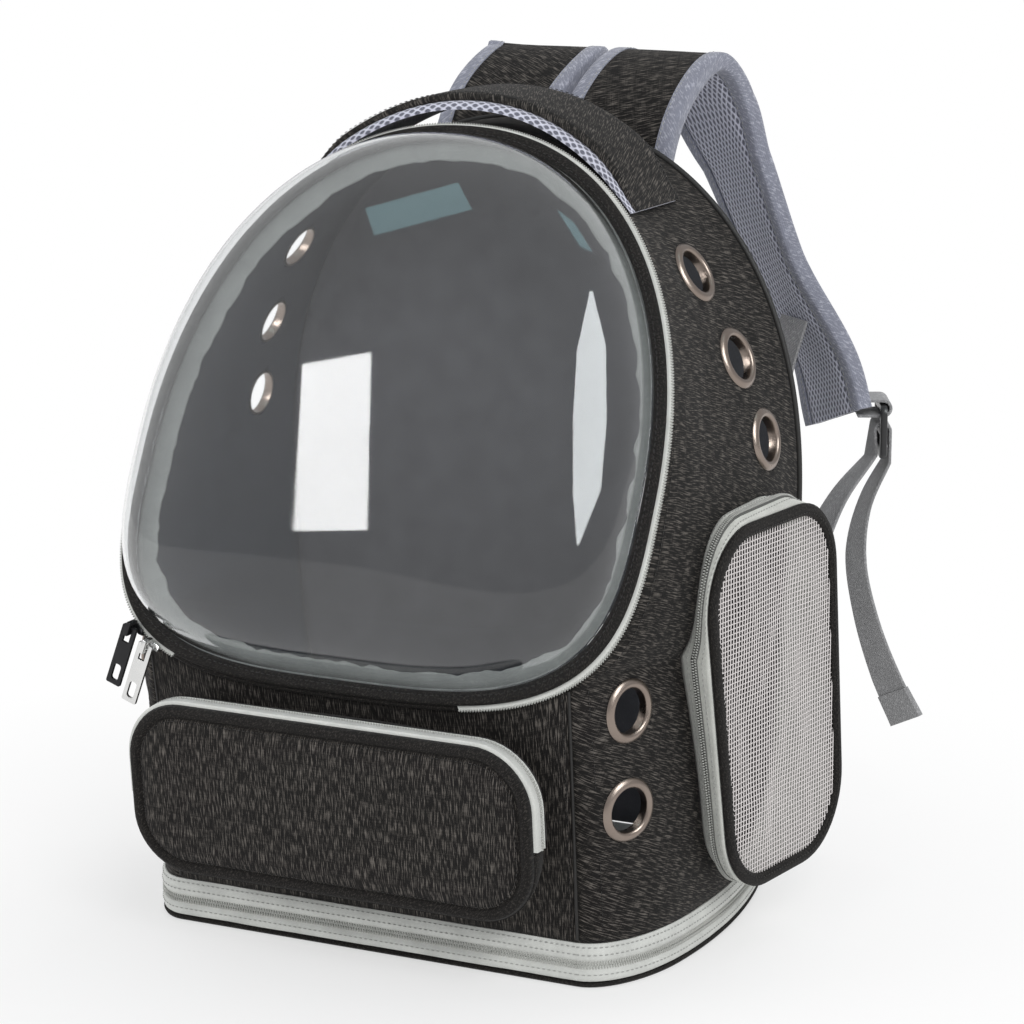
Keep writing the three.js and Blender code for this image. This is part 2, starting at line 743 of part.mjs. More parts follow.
// Side pockets
function sidePocket(side, rootCorners, frontDepth, backDepth) {
  const sign = side === 'right' ? 1 : -1;
  const flat = (corners) => corners.map(({ y, z }) => ({ x: y, y: z }));
  const face = roundedOutline(flat(sideFace), sideRadius, 4, 4);
  const root = roundedOutline(flat(rootCorners), sideRadius, 4, 4);
  const faceX = (depth) => {
    const share = (depth - sideFace[3].y) / (sideFace[1].y - sideFace[3].y);
    return waistWidth / 2 + mix(frontDepth, backDepth, share);
  };
  const onWall = (spot) => {
    const { point } = wallAt(spot.x, spot.y);
    return new THREE.Vector3(sign * (point.x + rootGap), spot.x, spot.y);
  };
  const onFace = (spot, behind) => new THREE.Vector3(sign * (faceX(spot.x) - behind), spot.x, spot.y);
  const innerRootSpots = outset(root, -cloth);
  const innerFace = outset(face, -cloth);
  const behind = cloth + seatGap;
  const gusset = root.map((spot, i) => [
    onWall(spot),
    onFace(face[i], behind),
    onFace(innerFace[i], behind),
    onWall(innerRootSpots[i]),
  ]);
  addPiece(`side_pocket_gusset_${side}`, loft(gusset, true), greyTape);
  const chainSpots = root.map((spot, i) => spot.clone().lerp(face[i], chainShare));
  const chainPlace = (i, lift, along) => {
    const lifted = outset(chainSpots, lift)[i].sub(chainSpots[i]);
    const wallX = wallAt(chainSpots[i].x + lifted.x, chainSpots[i].y + lifted.y).point.x + rootGap;
    const edgeX = faceX(face[i].x) - behind;
    const share = THREE.MathUtils.clamp(chainShare + along / (edgeX - wallX), 0, 1);
    const spot = root[i].clone().lerp(face[i], share).add(lifted);
    const middle = Math.max(mix(wallX, edgeX, chainShare), wallX + chainWidth / 2);
    return new THREE.Vector3(sign * (middle + along), spot.x, spot.y);
  };
  const chain = root.map((spot, i) => [
    chainPlace(i, chainLift, -chainWidth / 2),
    chainPlace(i, chainLift, chainWidth / 2),
    chainPlace(i, chainLift + chainThickness, chainWidth / 2),
    chainPlace(i, chainLift + chainThickness, -chainWidth / 2),
  ]);
  addPiece(`side_pocket_zipper_${side}`, loft(chain, true), greyTape);
  const bindingInner = outset(face, -sideBinding);
  const binding = face.map((spot, i) => [
    onFace(spot, 0),
    onFace(spot, cloth),
    onFace(bindingInner[i], cloth),
    onFace(bindingInner[i], 0),
  ]);
  addPiece(`side_pocket_binding_${side}`, loft(binding, true), blackCloth);
  const netEdge = outset(face, -sideBinding - seatGap);
  const centre = netEdge.reduce((sum, p) => sum.add(p), new THREE.Vector2()).divideScalar(netEdge.length);
  const rings = (extra) => [1, 0.6].map((share) => netEdge.map((spot) => {
    const at = centre.clone().lerp(spot, share);
    return onFace(at, extra + (cloth - netThickness) / 2);
  }));
  const pole = (extra) => onFace(centre, extra + (cloth - netThickness) / 2);
  addPiece(`side_pocket_net_${side}`, bowl(rings(0), pole(0), rings(netThickness), pole(netThickness)), netCloth);
}

sidePocket('right', sideRoot, sideOpenFront, sideOpenBack);
sidePocket('left', sideFace, sideFolded, sideFolded);

// Carry handle: a pad and its cover, arched over the top from seam to seam
const handleSteps = 18;

// How far the wall stands above a station anywhere under the handle's width
function wallCrest(t, middle, normal, flip) {
  const reach = (handleWidth / 2 + handleSetBack) / (backY - wallPoint(t, 0).y);
  let crest = 0;
  for (let i = -4; i <= 4; i += 1) {
    const point = wallPoint(t, THREE.MathUtils.clamp(handleShare + (reach * i) / 4, 0, 1));
    const place = flip ? mirrored(point) : point;
    crest = Math.max(crest, place.sub(middle).setY(0).dot(normal));
  }
  return crest;
}

function handleStations(shift) {
  const stations = [];
  for (let i = 0; i <= handleSteps; i += 1) {
    const run = i / handleSteps;
    const angle = mix(handleEndAngle, Math.PI - handleEndAngle, run);
    const folded = Math.min(angle, Math.PI - angle);
    const t = mix(seamShare, 1, (folded - doorSeamAngle) / (Math.PI / 2 - doorSeamAngle));
    const point = wallPoint(t, handleShare);
    const out = wallInward(t, handleShare).negate();
    const flip = angle > Math.PI / 2;
    const middle = flip ? mirrored(point) : point;
    const normal = flip ? mirrored(out) : out;
    normal.y = 0;
    normal.normalize();
    middle.addScaledVector(normal, wallCrest(t, middle, normal, flip) + handleClear + handleRise * Math.sin(Math.PI * run) ** 2);
    const thin = mix(handleEndThin, 1, THREE.MathUtils.smoothstep(Math.sin(Math.PI * run), 0, handleTaper));
    middle.y = mix(wallPoint(t, 0).y, backY, handleShare) + shift;
    stations.push({ middle, normal, side: inDepth, from: -handleWidth / 2, to: handleWidth / 2, thin });
  }
  return stations;
}

const handleLift = seatGap;
addPiece(
  'handle_underside',
  strapAlong(handleStations(0), handleLift, handleLift + handlePad),
  airMesh,
);
addPiece(
  'handle_band',
  strapAlong(
    handleStations(handleSetBack),
    handleLift + handlePad + seatGap,
    handleLift + handlePad + seatGap + handleCloth,
  ),
  blackCloth,
);

// Shoulder straps: the right one's middle line, from the back panel over the crest and down
const strapRoute = [
  { right: 40, left: 37, behind: 6, z: 350, turn: 0 },
  { right: 40, left: 34, behind: 6, z: 385, turn: 0 },
  { right: 43, left: 31, behind: 24, z: 420, turn: 0 },
  { right: 48, left: 28, behind: 68, z: 440, turn: -5 },
  { right: 58, left: 50, behind: 97, z: 415, turn: -20 },
  { right: 72, left: 70, behind: 103, z: 382, turn: -32 },
  { right: 96, left: 96, behind: 107, z: 324, turn: -38 },
  { right: 126, left: 126, behind: 105, z: 274, turn: -36 },
  { right: 137, left: 137, behind: 101, z: 242, turn: -34 },
];
const strapSteps = 24;

function strapStations(sign) {
  const reach = sign > 0 ? 'right' : 'left';
  const points = strapRoute.map((row) => new THREE.Vector3(sign * row[reach], backPlane + row.behind, row.z));
  const curve = new THREE.CatmullRomCurve3(points, false, 'centripetal');
  const stations = [];
  for (let i = 0; i <= strapSteps; i += 1) {
    const share = i / strapSteps;
    const place = share * (strapRoute.length - 1);
    const from = strapRoute[Math.min(Math.floor(place), strapRoute.length - 2)];
    const to = strapRoute[Math.min(Math.floor(place) + 1, strapRoute.length - 1)];
    const degrees = mix(from.turn, to.turn, place - Math.min(Math.floor(place), strapRoute.length - 2));
    const turn = THREE.MathUtils.degToRad(degrees);
    const tangent = curve.getTangent(share);
    const wide = new THREE.Vector3(sign * Math.cos(turn), Math.sin(turn), 0);
    const side = wide.addScaledVector(tangent, -wide.dot(tangent)).normalize();
    const normal = new THREE.Vector3().crossVectors(side, tangent).normalize().multiplyScalar(sign);
    const half = mix(strapWidth, strapEndWidth, THREE.MathUtils.smoothstep(share, 0.45, 0.75)) / 2;
    stations.push({ middle: curve.getPoint(share), side, normal, half });
  }
  return stations;
}

const spanned = (stations, low, high) => stations.map((station) => ({
  ...station,
  from: low(station.half),
  to: high(station.half),
}));

function shoulderStrap(side) {
  const sign = side === 'right' ? 1 : -1;
  const stations = strapStations(sign);
  const inner = (half) => half - strapEdge - seatGap;
  const core = spanned(stations, (half) => -inner(half), inner);
  const total = strapCloth + seatGap + strapPad;
  addPiece(`strap_cover_${side}`, strapAlong(core, total / 2 - strapCloth, total / 2), blackCloth);
  addPiece(`strap_pad_${side}`, strapAlong(core, -total / 2, total / 2 - strapCloth - seatGap), airMesh);
  const outerEdge = spanned(stations, (half) => half - strapEdge, (half) => half);
  const innerEdge = spanned(stations, (half) => -half, (half) => strapEdge - half);
  addPiece(`strap_edge_outer_${side}`, strapAlong(outerEdge, -total / 2, total / 2), lavenderWeb);
  addPiece(`strap_edge_inner_${side}`, strapAlong(innerEdge, -total / 2, total / 2), lavenderWeb);
  return stations;
}

const strapLines = { right: shoulderStrap('right'), left: shoulderStrap('left') };

// Webbing: rows give the middle line and how far its width is turned from the bag's width
function webStations(rows, sign, steps) {
  const points = rows.map(({ x, y, z }) => new THREE.Vector3(sign * x, y, z));
  const curve = new THREE.CatmullRomCurve3(points, false, 'centripetal');
  const stations = [];
  for (let i = 0; i <= steps; i += 1) {
    const share = i / steps;
    const place = share * (rows.length - 1);
    const first = Math.min(Math.floor(place), rows.length - 2);
    const turn = THREE.MathUtils.degToRad(mix(rows[first].turn, rows[first + 1].turn, place - first));
    const tangent = curve.getTangent(share);
    const wide = new THREE.Vector3(sign * Math.cos(turn), Math.sin(turn), 0);
    const side = wide.addScaledVector(tangent, -wide.dot(tangent)).normalize();
    const normal = new THREE.Vector3().crossVectors(side, tangent).normalize();
    stations.push({ middle: curve.getPoint(share), side, normal, from: -webWidth / 2, to: webWidth / 2 });
  }
  return stations;
}

// Ladder lock at the end of each shoulder strap
const lockPlace = { x: 160, y: backPlane + 107, z: 237, turn: -64 };
const barReach = lockHeight / 2 - lockBar / 2;
const wrapRadius = lockBar / 2 + 1.2 + webThickness / 2;

function lockFrame(sign) {
  const turn = THREE.MathUtils.degToRad(lockPlace.turn);
  const side = new THREE.Vector3(sign * Math.cos(turn), Math.sin(turn), 0);
  const out = new THREE.Vector3(-sign * Math.sin(turn), Math.cos(turn), 0);
  const middle = new THREE.Vector3(sign * lockPlace.x, lockPlace.y, lockPlace.z);
  return { side, out, middle };
}

function boxAt(width, height, centre) {
  return tidied(new THREE.BoxGeometry(width, height, 3 * lockThickness).translate(0, centre, 0));
}

function ladderLock(side) {
  const sign = side === 'right' ? 1 : -1;
  const { side: wide, out, middle } = lockFrame(sign);
  const half = lockWidth / 2;
  const outline = roundedOutline(
    [{ x: half, y: -lockHeight / 2 }, { x: half, y: lockHeight / 2 }, { x: -half, y: lockHeight / 2 }, { x: -half, y: -lockHeight / 2 }],
    lockBar, 3, 1,
  );
  const slots = [-barReach / 2, barReach / 2].map((centre) => boxAt(webWidth + 3, barReach - lockBar, centre));
  const plate = cut(plateFrom(outline, lockThickness).translate(0, 0, -lockThickness / 2), slots);
  const frame = new THREE.Matrix4().makeBasis(wide, upright, out).setPosition(middle);
  addPiece(`ladder_lock_${side}`, plate.applyMatrix4(frame), blackPlastic);
}

// One length of webbing: loose tail, turn round the lock's middle bar, and down to the bag's lower corner
const tailRows = [
  { x: 180, y: backPlane + 106, z: 70, turn: -20 },
  { x: 167, y: backPlane + 106, z: 94, turn: -26 },
  { x: 154, y: backPlane + 106, z: 128, turn: -36 },
  { x: 147, y: backPlane + 107, z: 162, turn: -44 },
  { x: 151, y: backPlane + 109, z: 192, turn: -56 },
  { x: 164.6, y: backPlane + 109.3, z: 221, turn: -64 },
];
const strandRows = [
  { x: 155.4, y: backPlane + 104.7, z: 221, turn: -64 },
  { x: 141, y: backPlane + 88, z: 196, turn: -50 },
  { x: 128, y: backPlane + 48, z: 136, turn: -24 },
  { x: 120, y: backPlane + 16, z: 86, turn: -6 },
  { x: 116, y: backPlane + 3.5, z: 62, turn: 0 },
];
const wrapSteps = 8;

function strapWeb(side) {
  const sign = side === 'right' ? 1 : -1;
  const { side: wide, out, middle } = lockFrame(sign);
  const wrap = [];
  for (let i = 0; i <= wrapSteps; i += 1) {
    const angle = (Math.PI * i) / wrapSteps;
    const normal = out.clone().multiplyScalar(Math.cos(angle)).addScaledVector(upright, Math.sin(angle));
    const place = middle.clone().addScaledVector(normal, wrapRadius);
    wrap.push({ middle: place, side: wide, normal, from: -webWidth / 2, to: webWidth / 2 });
  }
  const fix = (stations, reference) => stations.map((station) => {
    const turned = station.side.dot(reference.side) < 0;
    if (turned) station.side.negate();
    if (station.normal.dot(reference.normal) < 0) station.normal.negate();
    return station;
  });
  const tail = fix(webStations(tailRows, sign, 16), wrap[0]);
  const strand = fix(webStations(strandRows, sign, 14), wrap[wrapSteps]);
  addPiece(`strap_web_${side}`, strapAlong([...tail, ...wrap, ...strand], -webThickness / 2, webThickness / 2), greyWeb);
}

// The short loop that holds the lock's top bar to the strap's end
const loopReach = 26;

function lockLoop(side) {
  const sign = side === 'right' ? 1 : -1;
  const { side: wide, out, middle } = lockFrame(sign);
  const bar = middle.clone().addScaledVector(upright, barReach);
  const place = (along, up) => bar.clone().addScaledVector(out, along).addScaledVector(upright, up);
  const station = (point, normal) => ({ middle: point, side: wide, normal, from: -webWidth / 2, to: webWidth / 2 });
  const stations = [station(place(-loopReach, wrapRadius), upright.clone())];
  for (let i = 0; i <= wrapSteps; i += 1) {
    const angle = Math.PI / 2 - (Math.PI * i) / wrapSteps;
    const normal = out.clone().multiplyScalar(Math.cos(angle)).addScaledVector(upright, Math.sin(angle));
    stations.push(station(bar.clone().addScaledVector(normal, wrapRadius), normal));
  }
  stations.push(station(place(-loopReach, -wrapRadius), upright.clone().negate()));
  const coverFace = (strapCloth + seatGap + strapPad) / 2 + seatGap;
  const lastStations = spanned(strapLines[side].slice(-6), (half) => -half - webWidth, (half) => half + webWidth);
  const strapSide = strapAlong(lastStations, coverFace - webWidth, coverFace);
  const loop = strapAlong(stations, -webThickness / 2, webThickness / 2);
  addPiece(`lock_loop_${side}`, cut(loop, [strapSide]), greyWeb);
}

// The black tab that sews the webbing to the bag's lower corner
function lowerAnchor(side) {
  const sign = side === 'right' ? 1 : -1;
  const end = strandRows[strandRows.length - 1];
  const top = end.z - seatGap - webThickness;
  const outline = [
    new THREE.Vector2(sign * (end.x - anchorWidth / 2), wallFoot + 3),
    new THREE.Vector2(sign * (end.x + anchorWidth / 2 - 6), wallFoot + 3),
    new THREE.Vector2(sign * (end.x + webWidth / 2), top),
    new THREE.Vector2(sign * (end.x - webWidth / 2), top),
  ];
  addPiece(`lower_anchor_${side}`, standing(outline, backPlane + seatGap, 2 * cloth), blackCloth);
}

// Chest strap half: webbing sewn inside the shoulder strap, with its half of the buckle
const chestRows = [
  { x: 110, y: backPlane + 100.8, z: 296, turn: -34 },
  { x: 104, y: backPlane + 93, z: 268, turn: -30 },
  { x: 101, y: backPlane + 90, z: 240, turn: -26 },
];
const buckleHeight = 24;
const buckleThickness = 6;

function chestStrap(side) {
  const sign = side === 'right' ? 1 : -1;
  const stations = webStations(chestRows, sign, 8);
  addPiece(`chest_web_${side}`, strapAlong(stations, -webThickness / 2, webThickness / 2), greyWeb);
  const end = stations[stations.length - 1];
  const down = new THREE.Vector3().crossVectors(end.normal, end.side).normalize();
  if (down.z > 0) down.negate();
  const outline = roundedOutline(
    [{ x: 15, y: 0 }, { x: 13, y: buckleHeight }, { x: -13, y: buckleHeight }, { x: -15, y: 0 }],
    3, 3, 1,
  );
  const buckle = plateFrom(outline, buckleThickness).translate(0, seatGap, -buckleThickness / 2);
  const frame = new THREE.Matrix4().makeBasis(end.side, down, end.normal).setPosition(end.middle);
  addPiece(`chest_buckle_${side}`, buckle.applyMatrix4(frame), blackPlastic);
}

for (const side of ['right', 'left']) {
  ladderLock(side);
  strapWeb(side);
  lockLoop(side);
  lowerAnchor(side);
  chestStrap(side);
}

// Door sliders at the zip's left end, each with a hanging pull tab
const pullLean = THREE.MathUtils.degToRad(20);
const pullAxis = new THREE.Vector3(Math.cos(pullLean), 0, -Math.sin(pullLean));
const pullDown = new THREE.Vector3(-Math.sin(pullLean), 0, -Math.cos(pullLean));
const bridgeSize = 7.6;
const bridgeHole = 3.8;
const bridgeWidth = 2.6;
const crossbar = 1.8;
const pullPlay = 0.6;
const sliderTable = [
  { name: 'bright', angle: 221.6, metal: brightMetal },
  { name: 'black', angle: 216.6, metal: blackMetal },
];

function squareRing(outer, inner, depth) {
  const square = (size) => [[-1, -1], [1, -1], [1, 1], [-1, 1]]
    .map(([x, y]) => new THREE.Vector2((x * size) / 2, (y * size) / 2));
  return plateFrom(square(outer), depth, square(inner)).translate(0, 0, -depth / 2);
}

function doorSlider({ name, angle, metal }) {
  const turn = THREE.MathUtils.degToRad(angle);
  const inset = -(zipperPeek + seatGap + sliderThickness / 2);
  const low = 0.5;
  const high = low + sliderWidth;
  const pivot = doorPoint(turn, inset - 1.8, high + bridgeSize / 2 - 0.5);
  const ahead = doorPoint(turn + 0.02, inset).sub(doorPoint(turn - 0.02, inset)).normalize();
  const radial = new THREE.Vector3().crossVectors(ahead, doorOut).normalize();
  const block = tidied(new THREE.BoxGeometry(sliderLength, sliderThickness, high - low));
  block.applyMatrix4(
    new THREE.Matrix4().makeBasis(ahead, radial, doorOut).setPosition(doorPoint(turn, inset, (low + high) / 2)),
  );
  const bridge = squareRing(bridgeSize, bridgeHole, bridgeWidth);
  const frame = new THREE.Matrix4().makeBasis(pullDown, new THREE.Vector3().crossVectors(pullAxis, pullDown), pullAxis);
  bridge.applyMatrix4(frame.setPosition(pivot));
  addPiece(`door_slider_${name}`, fromSolid(toSolid(block).add(toSolid(bridge))), metal);

  const half = pullWidth / 2;
  const window = bridgeWidth / 2 + pullPlay;
  const outline = roundedOutline(
    [{ x: half, y: -crossbar / 2 }, { x: half, y: pullLength }, { x: -half, y: pullLength }, { x: -half, y: -crossbar / 2 }],
    0.8, 2, 1,
  );
  const slotMiddle = pullLength - 2.5 - pullSlotLength / 2;
  const tab = cut(plateFrom(outline, crossbar).translate(0, 0, -crossbar / 2), [
    boxAt(2 * window, bridgeSize, (crossbar + bridgeSize) / 2),
    boxAt(pullSlotWidth, pullSlotLength, slotMiddle),
  ]);
  const tabFrame = new THREE.Matrix4().makeBasis(pullAxis, pullDown, new THREE.Vector3().crossVectors(pullAxis, pullDown));
  addPiece(`pull_tab_${name}`, tab.applyMatrix4(tabFrame.setPosition(pivot)), metal);
}

sliderTable.forEach(doorSlider);

export default bag;
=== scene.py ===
# Bubble pet carrier backpack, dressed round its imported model.
# Shapes are worked out in millimetres in the model's own frame, and their meshes are written in metres.
import math

import bmesh
import bpy
from mathutils import Matrix, Vector, noise
from mathutils.interpolate import poly_3d_calc


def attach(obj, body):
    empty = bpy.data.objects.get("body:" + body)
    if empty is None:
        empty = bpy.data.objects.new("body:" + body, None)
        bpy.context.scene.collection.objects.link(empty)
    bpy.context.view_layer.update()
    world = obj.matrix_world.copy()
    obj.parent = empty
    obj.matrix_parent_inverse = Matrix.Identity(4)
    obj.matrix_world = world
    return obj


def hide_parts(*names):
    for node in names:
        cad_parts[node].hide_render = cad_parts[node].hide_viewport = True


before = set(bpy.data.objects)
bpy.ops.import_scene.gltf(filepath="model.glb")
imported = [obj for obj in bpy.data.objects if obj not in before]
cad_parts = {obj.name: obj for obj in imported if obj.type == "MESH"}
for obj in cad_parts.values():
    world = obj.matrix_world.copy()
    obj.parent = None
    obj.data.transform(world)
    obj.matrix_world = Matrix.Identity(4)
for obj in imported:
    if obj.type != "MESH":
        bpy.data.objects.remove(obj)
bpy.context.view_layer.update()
scene = bpy.context.scene

# Camera
# It looks at the door side from the bag's right, a little from above, at the photograph's angle.
MM = 0.001
CAMERA_YAW = math.radians(26.2)
CAMERA_PITCH = math.radians(12.6)
CAMERA_DISTANCE = 1.84
CAMERA_AIM = Vector((0.028, 0.009, 0.215))
SENSOR_WIDTH = 36
FOCAL_PIXELS = 3500
PHOTO_WIDTH = 1024


def linked(name, data):
    """A new object in the scene."""
    thing = bpy.data.objects.new(name, data)
    scene.collection.objects.link(thing)
    return thing


camera_look = Vector((
    -math.sin(CAMERA_YAW) * math.cos(CAMERA_PITCH),
    math.cos(CAMERA_YAW) * math.cos(CAMERA_PITCH),
    -math.sin(CAMERA_PITCH),
))
camera_data = bpy.data.cameras.new("camera")
camera_data.sensor_width = SENSOR_WIDTH
camera_data.lens = FOCAL_PIXELS * SENSOR_WIDTH / PHOTO_WIDTH
camera_data.clip_end = 50
camera = linked("camera", camera_data)
camera.location = CAMERA_AIM - camera_look * CAMERA_DISTANCE
camera.rotation_euler = camera_look.to_track_quat("-Z", "Y").to_euler()
scene.camera = camera

# Studio
# A pale floor that runs up into the background, a bright even room and three soft boxes that
# stay out of the reflections.
scene.view_settings.view_transform = "Standard"
scene.view_settings.look = "None"


def fill(tree, node, inputs):
    """A node's inputs, given as numbers, colours of three shares or sockets to link."""
    for key, value in inputs.items():
        if isinstance(value, bpy.types.NodeSocket):
            tree.links.new(value, node.inputs[key])
        else:
            node.inputs[key].default_value = (*value, 1) if isinstance(value, tuple) else value
    return node


def add_node(tree, kind, inputs=None, **settings):
    """A new node with its settings and inputs."""
    node = tree.nodes.new(kind)
    for name, value in settings.items():
        setattr(node, name, value)
    return fill(tree, node, inputs or {})


def math_node(tree, operation, *values):
    """The result of a Math node on numbers or sockets."""
    return add_node(tree, "ShaderNodeMath", dict(enumerate(values)), operation=operation).outputs[0]


def noise_node(tree, place, scale, detail):
    clouds = {"Vector": place, "Scale": scale, "Detail": detail}
    return add_node(tree, "ShaderNodeTexNoise", clouds).outputs["Fac"]


def color_blend(tree, share, first, second):
    colors = {"Factor": share, "A": first, "B": second}
    return add_node(tree, "ShaderNodeMix", colors, data_type="RGBA").outputs["Result"]


def either_ray(tree, first, second):
    """One for rays of either kind, else zero."""
    path = add_node(tree, "ShaderNodeLightPath").outputs
    return math_node(tree, "MAXIMUM", path[first], path[second])


def mixed_surface(tree, share, first, second, output="Material Output"):
    """The surface of a tree, mixed from two shaders."""
    blend = add_node(tree, "ShaderNodeMixShader", {0: share, 1: first.outputs[0], 2: second.outputs[0]})
    fill(tree, tree.nodes[output], {"Surface": blend.outputs[0]})


def new_material(name, inputs):
    """A material, its tree and its Principled shader with the given inputs."""
    material = bpy.data.materials.new(name)
    material.use_nodes = True
    tree = material.node_tree
    return material, tree, fill(tree, tree.nodes["Principled BSDF"], inputs)


def plain_material(name, color, roughness, **coat):
    """One colour over the whole piece; a coat or sheen is given with its weight."""
    weights = {f"{label.capitalize()} Weight": weight for label, weight in coat.items()}
    return new_material(name, {"Base Color": color, "Roughness": roughness, **weights})[0]


world = bpy.data.worlds.new("room")
world.use_nodes = True
room = world.node_tree
room_light = fill(room, room.nodes["Background"], {"Color": (0.93, 0.94, 0.96), "Strength": 0.6})
backdrop = add_node(room, "ShaderNodeBackground", {"Color": (1, 1, 1)})
seen = either_ray(room, "Is Camera Ray", "Is Transmission Ray")
mixed_surface(room, seen, room_light, backdrop, "World Output")
scene.world = world

floor_material, floor_tree, floor_shader = new_material(
    "studio_floor", {"Roughness": 0.9, "Base Color": (0.88, 0.88, 0.875)})
floor_place = add_node(floor_tree, "ShaderNodeTexCoord").outputs["Object"]
floor_reach = add_node(floor_tree, "ShaderNodeVectorMath", {0: floor_place}, operation="LENGTH")
floor_fade = add_node(floor_tree, "ShaderNodeMapRange", {
    "Value": floor_reach.outputs["Value"], "From Min": 0.15, "From Max": 0.5, "To Min": 0.55,
})
floor_glow = add_node(floor_tree, "ShaderNodeEmission")
mixed_surface(floor_tree, floor_fade.outputs["Result"], floor_shader, floor_glow)
bpy.ops.mesh.primitive_plane_add(size=14)
floor = bpy.context.object
floor.name = "studio_floor"
floor.data.materials.append(floor_material)


def soft_box(name, place, aim, width, height, watts):
    """An area light that faces a point and is kept out of reflections."""
    light = bpy.data.lights.new(name, "AREA")
    light.shape = "RECTANGLE"
    light.size = width
    light.size_y = height
    light.energy = watts
    box = linked(name, light)
    box.location = place
    box.rotation_euler = (Vector(aim) - Vector(place)).to_track_quat("-Z", "Y").to_euler()
    box.visible_glossy = False
    box.visible_transmission = False


soft_box("key_light", (1.6, -1.7, 1.9), (0, 0, 0.2), 1.2, 1.2, 34)
soft_box("fill_light", (-1.9, -1.4, 1.3), (0, 0, 0.2), 1.4, 1.4, 16)
soft_box("back_light", (0.4, 1.9, 1.6), (0, 0, 0.25), 1.6, 1.2, 22)

# Door line and body form
# The bag is a cloth shell stretched from a leaning egg-shaped door to a flat back. These are the
# lines that every sewn piece follows.
FRONT = -95
BACK = 95
BODY_HEIGHT = 413
WALL_FOOT = 23.6
PANEL_WIDTH = 232
CORNER_WIDTH = 292
BACK_FOOT_WIDTH = 264
WAIST_WIDTH = 310
WAIST_HEIGHT = 220
ARCH_ROUNDNESS = 2.2
CORNER_DEPTH = 55
CORNER_FADE = 310
WALL_SAG = 0.055
SAG_FROM = 230
SAG_FULL = 350
CLOTH = 3

DOOR_WIDTH = 296
DOOR_HEIGHT = 304
DOOR_WIDEST = 114
DOOR_LEAN = math.radians(27)
DOOR_TOP_ROUNDNESS = 2.15
DOOR_FOOT_ROUNDNESS = 3.4
DOOR_SEAM_ANGLE = math.radians(-38)
DOOR_FOOT = Vector((0, FRONT - 29, 144))
DOOR_UP = Vector((0, math.sin(DOOR_LEAN), math.cos(DOOR_LEAN)))
DOOR_OUT = Vector((0, -math.cos(DOOR_LEAN), math.sin(DOOR_LEAN)))
SEAM_SHARE = 0.22
SIDES = {"right": 1, "left": -1}
FORWARD = Vector((0, -1, 0))
UPRIGHT = Vector((0, 0, 1))
FULL_TURN = 2 * math.pi


def mix(a, b, share):
    return a + (b - a) * share


def smooth(value, low, high):
    share = min(max((value - low) / (high - low), 0), 1)
    return share * share * (3 - 2 * share)


def door_outline(angle, inset=0.0):
    cos, sin = math.cos(angle), math.sin(angle)
    half = DOOR_WIDTH / 2 - inset
    reach = (DOOR_HEIGHT - DOOR_WIDEST if sin >= 0 else DOOR_WIDEST) - inset
    power = DOOR_TOP_ROUNDNESS if sin >= 0 else DOOR_FOOT_ROUNDNESS
    radius = (abs(cos / half) ** power + abs(sin / reach) ** power) ** (-1 / power)
    return radius * cos, DOOR_WIDEST + radius * sin


def door_place(x, up, out):
    return DOOR_FOOT + Vector((x, 0, 0)) + DOOR_UP * up + DOOR_OUT * out


def door_point(angle, inset=0.0, out=0.0):
    x, up = door_outline(angle, inset)
    return door_place(x, up, out)


SEAM_FOOT = Vector((PANEL_WIDTH / 2, FRONT, WALL_FOOT))
SEAM_TOP = door_point(DOOR_SEAM_ANGLE)


def wall_front(t):
    if t < SEAM_SHARE:
        return SEAM_FOOT.lerp(SEAM_TOP, t / SEAM_SHARE)
    return door_point(mix(DOOR_SEAM_ANGLE, math.pi / 2, (t - SEAM_SHARE) / (1 - SEAM_SHARE)))


def back_half_width(height):
    if height < WAIST_HEIGHT:
        return mix(BACK_FOOT_WIDTH, WAIST_WIDTH, math.sin(math.pi / 2 * height / WAIST_HEIGHT)) / 2
    share = min((height - WAIST_HEIGHT) / (BODY_HEIGHT - WAIST_HEIGHT), 1)
    return WAIST_WIDTH / 2 * (1 - share ** ARCH_ROUNDNESS) ** (1 / ARCH_ROUNDNESS)


def wall_back(t):
    if t < SEAM_SHARE:
        height = mix(WALL_FOOT, SEAM_TOP.z, t / SEAM_SHARE)
        return Vector((back_half_width(height), BACK, height))
    angle = mix(DOOR_SEAM_ANGLE, math.pi / 2, (t - SEAM_SHARE) / (1 - SEAM_SHARE))
    if angle < 0:
        height = mix(WAIST_HEIGHT, SEAM_TOP.z, angle / DOOR_SEAM_ANGLE)
        return Vector((back_half_width(height), BACK, height))
    cos = math.cos(angle) / (WAIST_WIDTH / 2)
    sin = math.sin(angle) / (BODY_HEIGHT - WAIST_HEIGHT)
    radius = (abs(cos) ** ARCH_ROUNDNESS + abs(sin) ** ARCH_ROUNDNESS) ** (-1 / ARCH_ROUNDNESS)
    return Vector((radius * math.cos(angle), BACK, WAIST_HEIGHT + radius * math.sin(angle)))


CORNER_SHARE = CORNER_DEPTH / (BACK - FRONT)
CORNER_BULGE = (CORNER_WIDTH - mix(PANEL_WIDTH, BACK_FOOT_WIDTH, CORNER_SHARE)) / 2


def wall_point(t, s):
    """The right half of the shell: t runs from the foot to the top, s from the door to the back."""
    front = wall_front(t)
    point = front.lerp(wall_back(t), s)
    fade = smooth(front.z - WALL_FOOT, 0, CORNER_FADE)
    if s < CORNER_SHARE:
        bulge = math.sqrt(1 - (1 - s / CORNER_SHARE) ** 2)
    else:
        bulge = 1 - ((s - CORNER_SHARE) / (1 - CORNER_SHARE)) ** 2
    point.x += CORNER_BULGE * (1 - fade) * bulge
    point.x *= 1 - WALL_SAG * math.sin(math.pi * s) * smooth(point.z, SAG_FROM, SAG_FULL)
    return point


